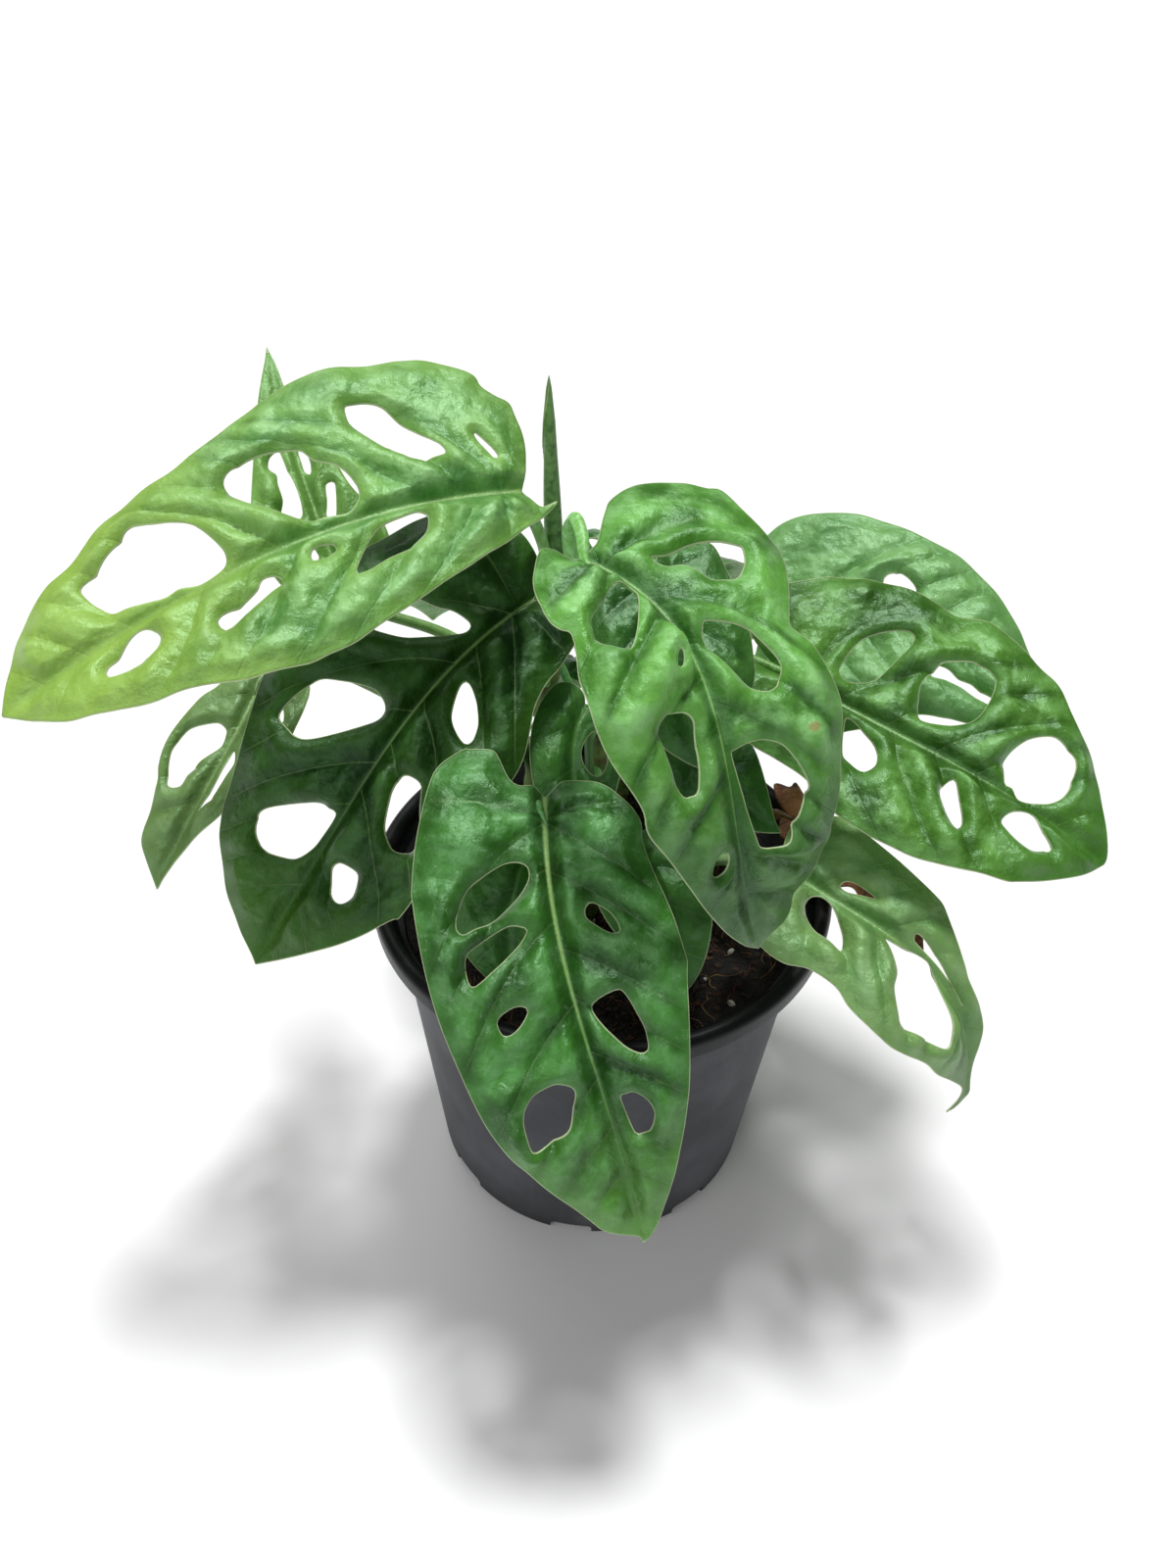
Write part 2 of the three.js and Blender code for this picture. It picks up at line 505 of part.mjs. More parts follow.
// Gives the place of the flat point (x, y) on the bent blade.
function bender(leaf, shape) {
  const rib = ribCurve(leaf.rib);
  const ribLength = rib.getLength();
  const scale = ribLength / shape.length;
  const wide = leaf.wide ?? 1;
  const fold = THREE.MathUtils.degToRad(leaf.fold);
  const curl = THREE.MathUtils.degToRad(leaf.curl) / CURL_REACH;
  const [footFace, tipFace] = leaf.face.map(vector);
  return (flatX, flatY) => {
    const x = flatX * scale * wide;
    const y = flatY * scale;
    const along = THREE.MathUtils.clamp(y / ribLength, 0, 1);
    const tangent = rib.getTangentAt(along);
    const point = rib.getPointAt(along).addScaledVector(tangent, y - along * ribLength);
    const face = footFace.clone().lerp(tipFace, along);
    const across = new THREE.Vector3().crossVectors(tangent, face).normalize();
    const normal = new THREE.Vector3().crossVectors(across, tangent);
    const reach = Math.abs(x);
    const out = (Math.sin(fold) - Math.sin(fold - curl * reach)) / curl;
    const rise = (Math.cos(fold - curl * reach) - Math.cos(fold)) / curl;
    const wave = Math.sin((2 * Math.PI * y) / RUFFLE_LENGTH + Math.sign(x)) * (reach / RUFFLE_REACH) ** 2;
    point.addScaledVector(across, out * Math.sign(x));
    return point.addScaledVector(normal, rise + leaf.ruffle * wave);
  };
}

// The blade's upper and under sides share one split into triangles.
function bladeSolid(leaf) {
  const shape = LEAF_SHAPES[leaf.shape];
  const { points, loops, faces } = flatLeaf(shape);
  const bend = bender(leaf, shape);
  const step = 0.5;
  const middles = points.map(({ x, y }) => bend(x, y));
  const normals = points.map(({ x, y }) => {
    const across = bend(x + step, y).sub(bend(x - step, y));
    const along = bend(x, y + step).sub(bend(x, y - step));
    return across.cross(along).normalize();
  });
  const count = points.length;
  const upper = middles.map((middle, i) => middle.clone().addScaledVector(normals[i], BLADE / 2));
  const under = middles.map((middle, i) => middle.clone().addScaledVector(normals[i], -BLADE / 2));
  const triangles = faces.flatMap(([a, b, c]) => [[a, b, c], [c + count, b + count, a + count]]);
  let start = 0;
  loops.forEach((loop) => {
    loop.forEach((_, i) => {
      const a = start + i;
      const b = start + ((i + 1) % loop.length);
      triangles.push([a + count, b + count, b], [a + count, b, a]);
    });
    start += loop.length;
  });
  const geometry = new THREE.BufferGeometry().setFromPoints([...upper, ...under]);
  geometry.setIndex(triangles.flat());
  return toSolid(geometry);
}

// The part in the soil is straight, so that it stands in a plain hole.
function stemSolid(name, radius) {
  const [[x, y]] = STEMS[name];
  const depths = [ROOTED_DEPTH, ROOTED_DEPTH / 2, 1];
  const rooted = depths.map((depth) => [x, y, SOIL_LEVEL - depth]);
  return toSolid(tube([...rooted, ...STEMS[name]], radius, 8, 12));
}

// A join can leave a loose crumb: only the leaf itself is kept.
function largestBody(solid) {
  return solid.decompose().reduce((best, body) => (body.volume() > best.volume() ? body : best));
}

function leafSolid(leaf) {
  const stalk = toSolid(tube(leaf.stalk, STALK_RADIUS, 6, STALK_STEPS));
  const grown = bladeSolid(leaf).add(stalk);
  if (!leaf.stem) return largestBody(grown);
  const stalkPoints = new THREE.CatmullRomCurve3(leaf.stalk.map(vector)).getPoints(STALK_STEPS);
  const sheathPoints = stalkPoints.slice(0, SHEATH_STEPS).map((point) => point.toArray());
  const sheath = toSolid(tube(sheathPoints, SHEATH_RADIUS, 6, SHEATH_STEPS));
  return largestBody(grown.add(sheath).subtract(stemSolid(leaf.stem, STEM_RADIUS + GAP)));
}

// A spindle turned on an upright axis and then laid along the leaf's own axis.
function rolledLeafSolid({ axis, profile, stem }) {
  const closed = [[0, 0], ...profile, [0, 1]].map(([radius, share]) => new THREE.Vector2(radius, share));
  const spindle = new THREE.LatheGeometry(closed, SPEAR_SIDES).rotateX(Math.PI / 2);
  const curve = new THREE.CatmullRomCurve3(axis.map(vector));
  const position = spindle.getAttribute('position');
  for (let i = 0; i < position.count; i += 1) {
    const centre = curve.getPointAt(THREE.MathUtils.clamp(position.getZ(i), 0, 1));
    position.setXYZ(i, centre.x + position.getX(i), centre.y + position.getY(i), centre.z);
  }
  return largestBody(toSolid(spindle).subtract(stemSolid(stem, STEM_RADIUS + GAP)));
}

// ---------- Pot and soil ----------

function potSolid() {
  const wallTop = RIM_RADIUS - RIM_STEP;
  const rimFoot = POT_HEIGHT - RIM_HEIGHT;
  const rimInside = RIM_RADIUS - RIM_WIDTH;
  const profile = [
    [0, 0], [BASE_RADIUS - BASE_ROUND, 0], [BASE_RADIUS - 0.3 * BASE_ROUND, 0.3 * BASE_ROUND],
    [BASE_RADIUS, BASE_ROUND], [wallTop, rimFoot], [RIM_RADIUS - RIM_TAPER, rimFoot + RIM_TAPER],
    [RIM_RADIUS, POT_HEIGHT - RIM_ROUND], [RIM_RADIUS - RIM_ROUND, POT_HEIGHT],
    [rimInside + RIM_ROUND, POT_HEIGHT], [rimInside, POT_HEIGHT - RIM_ROUND],
    [rimInside, rimFoot + WALL], [wallTop - WALL, rimFoot - WALL],
    [BASE_RADIUS - WALL, BASE_ROUND + WALL], [BASE_RADIUS - BASE_ROUND - WALL, WALL], [0, WALL],
  ].map(([radius, height]) => new THREE.Vector2(radius, height));
  const shell = new THREE.LatheGeometry(profile, POT_SIDES).rotateX(Math.PI / 2);
  let pot = toSolid(shell);
  for (let i = 0; i < SLOT_COUNT; i += 1) {
    const turn = (2 * Math.PI * (i + SLOT_TURN)) / SLOT_COUNT;
    const slot = new THREE.BoxGeometry(2 * SLOT_DEPTH, SLOT_WIDTH, 2 * SLOT_HEIGHT)
      .translate(BASE_RADIUS, 0, 0)
      .rotateZ(turn);
    pot = pot.subtract(toSolid(slot));
  }
  return pot;
}

function soilHeight(x, y) {
  const broad = Math.sin(x / 11 + 0.6) * Math.cos(y / 13);
  const fine = Math.sin((x + y) / 6) * Math.cos((x - 2 * y) / 9);
  return SOIL_LEVEL + SOIL_BUMP * (0.6 * broad + 0.4 * fine);
}

function soilSolid() {
  const slope = (RIM_RADIUS - RIM_STEP - BASE_RADIUS) / (POT_HEIGHT - RIM_HEIGHT - BASE_ROUND);
  const insideRadius = (height) => BASE_RADIUS + slope * (height - BASE_ROUND) - WALL - 2 * GAP;
  const foot = WALL + GAP;
  const footRound = BASE_ROUND + 2;
  const topRadius = insideRadius(SOIL_LEVEL);
  const profile = [new THREE.Vector2(0, foot), new THREE.Vector2(insideRadius(0) - footRound, foot)];
  profile.push(new THREE.Vector2(insideRadius(footRound), footRound + 1));
  for (let ring = SOIL_RINGS; ring > 0; ring -= 1) {
    profile.push(new THREE.Vector2((topRadius * ring) / SOIL_RINGS, SOIL_LEVEL));
  }
  profile.push(new THREE.Vector2(0, SOIL_LEVEL));
  const geometry = new THREE.LatheGeometry(profile, SOIL_SIDES).rotateX(Math.PI / 2);
  const position = geometry.getAttribute('position');
  for (let i = 0; i < position.count; i += 1) {
    const onTop = position.getZ(i) > SOIL_LEVEL - 1;
    if (onTop) position.setZ(i, soilHeight(position.getX(i), position.getY(i)));
  }
  return toSolid(geometry);
}

// A plain round hole in the soil for a stem that stands at [x, y].
function rootHole([x, y], radius) {
  const depth = ROOTED_DEPTH + GAP;
  const hole = new THREE.CylinderGeometry(radius + ROOT_ROOM, radius + ROOT_ROOM, 2 * depth, 12)
    .rotateX(Math.PI / 2)
    .translate(x, y, SOIL_LEVEL);
  return toSolid(hole);
}

// ---------- The plant in its pot ----------

const plant = new THREE.Group();
plant.name = 'monstera_adansonii';

let soil = soilSolid();
Object.values(STEMS).forEach(([foot]) => {
  soil = soil.subtract(rootHole(foot, STEM_RADIUS));
});
LEAVES.filter((leaf) => !leaf.stem).forEach((leaf) => {
  soil = soil.subtract(rootHole(leaf.stalk[0], STALK_RADIUS));
});

plant.add(mesh('pot', potSolid(), '#26282b', 0.5));
plant.add(mesh('soil', soil, '#3a2a1f', 0.95));
Object.keys(STEMS).forEach((name) => {
  plant.add(mesh(name, stemSolid(name, STEM_RADIUS), '#6b8a3f', 0.6));
});
LEAVES.forEach((leaf) => {
  plant.add(mesh(leaf.name, leafSolid(leaf), leaf.color, 0.4));
});
plant.add(mesh(SPEAR.name, rolledLeafSolid(SPEAR), SPEAR.color, 0.45));

export default plant;
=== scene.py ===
"""A Monstera adansonii in its nursery pot: fine leaves, stalks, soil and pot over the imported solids.

Shapes are worked out in millimetres and turned to metres when a mesh is made.
"""

import math
import random

import bpy
import numpy as np
from mathutils import Matrix, Vector, noise
from mathutils.geometry import delaunay_2d_cdt


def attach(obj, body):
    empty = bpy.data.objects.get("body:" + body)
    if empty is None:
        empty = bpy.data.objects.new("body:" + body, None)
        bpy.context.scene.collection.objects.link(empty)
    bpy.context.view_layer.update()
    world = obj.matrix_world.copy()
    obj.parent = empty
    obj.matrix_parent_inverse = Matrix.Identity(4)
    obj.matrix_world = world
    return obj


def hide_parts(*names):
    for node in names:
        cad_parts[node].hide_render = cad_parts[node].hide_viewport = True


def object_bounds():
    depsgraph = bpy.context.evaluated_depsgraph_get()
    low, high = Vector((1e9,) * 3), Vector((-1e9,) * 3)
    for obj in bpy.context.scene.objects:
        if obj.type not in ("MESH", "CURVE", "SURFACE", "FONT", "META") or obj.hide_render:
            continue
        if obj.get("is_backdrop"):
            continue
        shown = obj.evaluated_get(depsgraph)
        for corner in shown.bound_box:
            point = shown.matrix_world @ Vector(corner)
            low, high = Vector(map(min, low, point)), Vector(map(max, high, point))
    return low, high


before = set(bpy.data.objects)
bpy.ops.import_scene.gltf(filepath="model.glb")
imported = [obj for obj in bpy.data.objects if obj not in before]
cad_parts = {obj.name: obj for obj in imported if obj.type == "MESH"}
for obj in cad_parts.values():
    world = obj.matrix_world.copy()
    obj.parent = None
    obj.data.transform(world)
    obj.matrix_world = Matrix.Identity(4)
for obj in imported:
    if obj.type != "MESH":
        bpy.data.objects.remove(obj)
cad_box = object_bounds()

MM = 0.001


# ---------------------------------------------------------------- camera


CAMERA_TARGET = (-5.5, 0.0, 163.0)
CAMERA_DISTANCE = 363.0
CAMERA_ELEVATION = 40.2
CAMERA_ROLL = 1.8
FOCAL_PIXELS = 1202.0
IMAGE_HEIGHT = 1600.0
SENSOR_HEIGHT = 36.0


def make_camera():
    """The camera looks down on the plant from the front."""
    elevation = math.radians(CAMERA_ELEVATION)
    back = Vector((0, -math.cos(elevation), math.sin(elevation)))
    level_right = Vector((1, 0, 0))
    level_up = back.cross(level_right)
    roll = math.radians(CAMERA_ROLL)
    right = level_right * math.cos(roll) + level_up * math.sin(roll)
    up = level_up * math.cos(roll) - level_right * math.sin(roll)
    data = bpy.data.cameras.new("camera")
    data.sensor_fit = "VERTICAL"
    data.sensor_height = SENSOR_HEIGHT
    data.lens = FOCAL_PIXELS / IMAGE_HEIGHT * SENSOR_HEIGHT
    data.clip_start = 0.01
    data.clip_end = 50
    camera = new_object("camera", data)
    axes = Matrix((right, up, back)).transposed().to_4x4()
    place = (Vector(CAMERA_TARGET) + back * CAMERA_DISTANCE) * MM
    camera.matrix_world = Matrix.Translation(place) @ axes
    bpy.context.scene.camera = camera


# ---------------------------------------------------------------- finishes


class Wire:
    """A socket's value. Arithmetic on it adds Math nodes."""

    def __init__(self, finish, socket):
        self.finish = finish
        self.socket = socket

    def math(self, operation, *values):
        settings = {"operation": operation}
        inputs = dict(enumerate(values))
        return self.finish.add("ShaderNodeMath", settings, inputs)

    def __add__(self, other):
        return self.math("ADD", self, other)

    def __sub__(self, other):
        return self.math("SUBTRACT", self, other)

    def __rsub__(self, other):
        return self.math("SUBTRACT", other, self)

    def __mul__(self, other):
        return self.math("MULTIPLY", self, other)

    def __truediv__(self, other):
        return self.math("DIVIDE", self, other)

    def __rtruediv__(self, other):
        return self.math("DIVIDE", other, self)

    __radd__ = __add__
    __rmul__ = __mul__

    def size(self):
        return self.math("ABSOLUTE", self)

    def nearest(self):
        return self.math("ROUND", self)


class Finish:
    """A material built node by node."""

    def __init__(self, name):
        self.material = bpy.data.materials.new(name)
        self.material.use_nodes = True
        self.nodes = self.material.node_tree.nodes
        self.links = self.material.node_tree.links
        self.nodes.clear()
        self.shader = self.nodes.new("ShaderNodeBsdfPrincipled")
        output = self.nodes.new("ShaderNodeOutputMaterial")
        self.links.new(self.shader.outputs[0], output.inputs[0])

    def add(self, kind, settings=None, inputs=None, output=0):
        node = self.nodes.new(kind)
        for key, value in (settings or {}).items():
            setattr(node, key, value)
        self.feed(node, inputs or {})
        return Wire(self, node.outputs[output])

    def feed(self, node, inputs):
        for key, value in inputs.items():
            if isinstance(value, Wire):
                self.links.new(value.socket, node.inputs[key])
            else:
                node.inputs[key].default_value = value

    def surface(self, **inputs):
        """Feeds the shader and returns the material. base_color becomes Base Color, and so on."""
        named = {key.replace("_", " ").title(): value for key, value in inputs.items()}
        self.feed(self.shader, {key.replace("Ior", "IOR"): value for key, value in named.items()})
        return self.material

    def attribute(self, name):
        return self.add("ShaderNodeAttribute", {"attribute_name": name}, output="Fac")

    def place(self):
        return self.add("ShaderNodeTexCoord", output="Object")

    def stretched(self, along):
        """The place, drawn out by 1 / along up the Z axis, for streaks."""
        return self.add("ShaderNodeMapping", None, {"Vector": self.place(), "Scale": (1, 1, along)})

    def noise(self, scale, detail=4.0, vector=None, roughness=0.55, distortion=0.0):
        inputs = {"Scale": scale, "Detail": detail, "Roughness": roughness, "Distortion": distortion}
        inputs["Vector"] = vector or self.place()
        return self.add("ShaderNodeTexNoise", None, inputs, "Fac")

    def cells(self, scale, feature="F1"):
        inputs = {"Scale": scale, "Vector": self.place()}
        return self.add("ShaderNodeTexVoronoi", {"feature": feature}, inputs, "Distance")

    def rise(self, value, low, high):
        """0 where value is below low, 1 where it is above high, smooth between."""
        inputs = {"Value": value, "From Min": low, "From Max": high}
        return self.add("ShaderNodeMapRange", {"interpolation_type": "SMOOTHSTEP"}, inputs)

    def fall(self, value, low, high):
        return 1 - self.rise(value, low, high)

    def mix(self, factor, first, second):
        """The first colour where the factor is 0, the second where it is 1."""
        inputs = {0: factor, 6: colour(first), 7: colour(second)}
        return self.add("ShaderNodeMix", {"data_type": "RGBA"}, inputs, 2)

    def bump(self, height, distance, strength=1.0, normal=None):
        inputs = {"Height": height, "Distance": distance, "Strength": strength}
        if normal:
            inputs["Normal"] = normal
        return self.add("ShaderNodeBump", None, inputs)


def colour(value):
    """A wire as it is, or an sRGB hex colour as the four linear numbers that a socket takes."""
    if isinstance(value, Wire):
        return value
    channels = [int(value[i:i + 2], 16) / 255 for i in (1, 3, 5)]
    linear = [c / 12.92 if c <= 0.04045 else ((c + 0.055) / 1.055) ** 2.4 for c in channels]
    return (*linear, 1.0)


# ---------------------------------------------------------------- meshes


SPLINE_STEPS = 40  # steps of a curve between two of its points, before they are made even
TUBE_SIDE = (0.3, 0.2, 0.93)  # no tube starts out this way, so its first ring can be turned by it
GROOVE_WIDTH = 0.5  # half the width of a tube's groove, in radians


def new_mesh(name, points, faces):
    """A mesh in metres, from points in millimetres."""
    mesh = bpy.data.meshes.new(name)
    mesh.from_pydata([tuple(point) for point in np.asarray(points) * MM], [], faces)
    return mesh


def new_object(name, data):
    thing = bpy.data.objects.new(name, data)
    bpy.context.scene.collection.objects.link(thing)
    return thing


def evaluated_mesh(thing):
    """The object's mesh as its modifiers make it."""
    depsgraph = bpy.context.evaluated_depsgraph_get()
    return bpy.data.meshes.new_from_object(thing.evaluated_get(depsgraph))


def add_piece(name, points, faces, material, replaced=(), attributes=None, material_index=None):
    """Makes a smooth mesh from millimetre points, and hides the solids that it stands for."""
    mesh = new_mesh(name, points, faces)
    for label, values in (attributes or {}).items():
        layer = mesh.attributes.new(label, "FLOAT", "POINT")
        layer.data.foreach_set("value", np.asarray(values, dtype=np.float32))
    materials = material if isinstance(material, list) else [material]
    for item in materials:
        mesh.materials.append(item)
    if material_index is not None:
        mesh.polygons.foreach_set("material_index", np.asarray(material_index, dtype=np.int32))
    mesh.shade_smooth()
    mesh.update()
    piece = new_object(name, mesh)
    settle(piece, replaced)
    return piece


def settle(piece, replaced=()):
    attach(piece, "root")
    if replaced:
        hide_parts(*replaced)


def travel(points):
    """How far along the points each one lies."""
    return np.concatenate([[0], np.cumsum(np.linalg.norm(np.diff(points, axis=0), axis=1))])


def read_along(rows, marks, distances):
    """Rows of numbers at the given distances, from those known at the marks."""
    return np.stack([np.interp(distances, marks, column) for column in rows.T], axis=1)


def cubic(start, end, pull, push, t):
    """The curve from start to end that leaves at the slope pull and arrives at the slope push."""
    third = 2 * start - 2 * end + pull + push
    second = -3 * start + 3 * end - 2 * pull - push
    return third * t**3 + second * t**2 + pull * t + start


def spline(points, spacing):
    """Points at even steps along the smooth curve through the given ones."""
    points = np.asarray(points, dtype=float)
    ends = np.vstack([points[:1], points, points[-1:]])
    t = np.linspace(0, 1, SPLINE_STEPS, endpoint=False)[:, None]
    rows = []
    for i in range(len(points) - 1):
        a, b, c, d = ends[i:i + 4]
        rows.append(cubic(b, c, (c - a) / 2, (d - b) / 2, t))
    curve = np.vstack([*rows, points[-1:]])
    marks = travel(curve)
    count = max(2, int(round(marks[-1] / spacing)))
    return read_along(curve, marks, np.linspace(0, marks[-1], count + 1))


def tube_faces(rings, sides):
    """Faces of a tube whose rings of points come first, then the middles of its two ends."""
    faces = []
    for start in range(0, (rings - 1) * sides, sides):
        for i in range(sides):
            j = (i + 1) % sides
            faces.append((start + i, start + j, start + sides + j, start + sides + i))
    last_ring = (rings - 1) * sides
    first_end = rings * sides
    for i in range(sides):
        j = (i + 1) % sides
        faces.append((first_end, j, i))
        faces.append((first_end + 1, last_ring + i, last_ring + j))
    return faces


def sweep(points, radii, sides=14, groove=0.0):
    """A round tube along the points, closed at both ends. groove dents one side, as on a leaf stalk."""
    points = np.asarray(points, dtype=float)
    tangents = np.gradient(points, axis=0)
    tangents /= np.linalg.norm(tangents, axis=1)[:, None]
    side = np.cross(tangents[0], TUBE_SIDE)
    rings = []
    turn = 2 * np.pi * np.arange(sides) / sides
    dent = 1 - groove * np.exp(-((turn - np.pi / 2) / GROOVE_WIDTH) ** 2)
    for point, tangent, radius in zip(points, tangents, radii):
        side = side - tangent * side.dot(tangent)
        side /= np.linalg.norm(side)
        other = np.cross(tangent, side)
        ring = np.outer(np.cos(turn) * dent, side) + np.outer(np.sin(turn) * dent, other)
        rings.append(point + radius * ring)
    return np.vstack([*rings, points[:1], points[-1:]]), tube_faces(len(points), sides)


def taper(count, stops):
    """Radii for count rings, from stops of (share of the length, radius)."""
    shares, radii = zip(*stops)
    return np.interp(np.linspace(0, 1, count), shares, radii)


# ---------------------------------------------------------------- leaf shapes


# right and left are the margin's points from the foot of the rib to the tip, in flat millimetres.
# A hole is given by the points of its rim, or by its inner end, its outer end and its width.
PLAIN_RIGHT = [(5, -7), (15, -9), (24, -3), (29, 10), (30, 30), (28, 50), (23, 70), (14, 90), (6, 103)]
PLAIN_LEFT = [(-5, -7), (-15, -9), (-24, -3), (-29, 10), (-31, 30), (-29, 50), (-23, 70), (-14, 90),
              (-6, 103)]

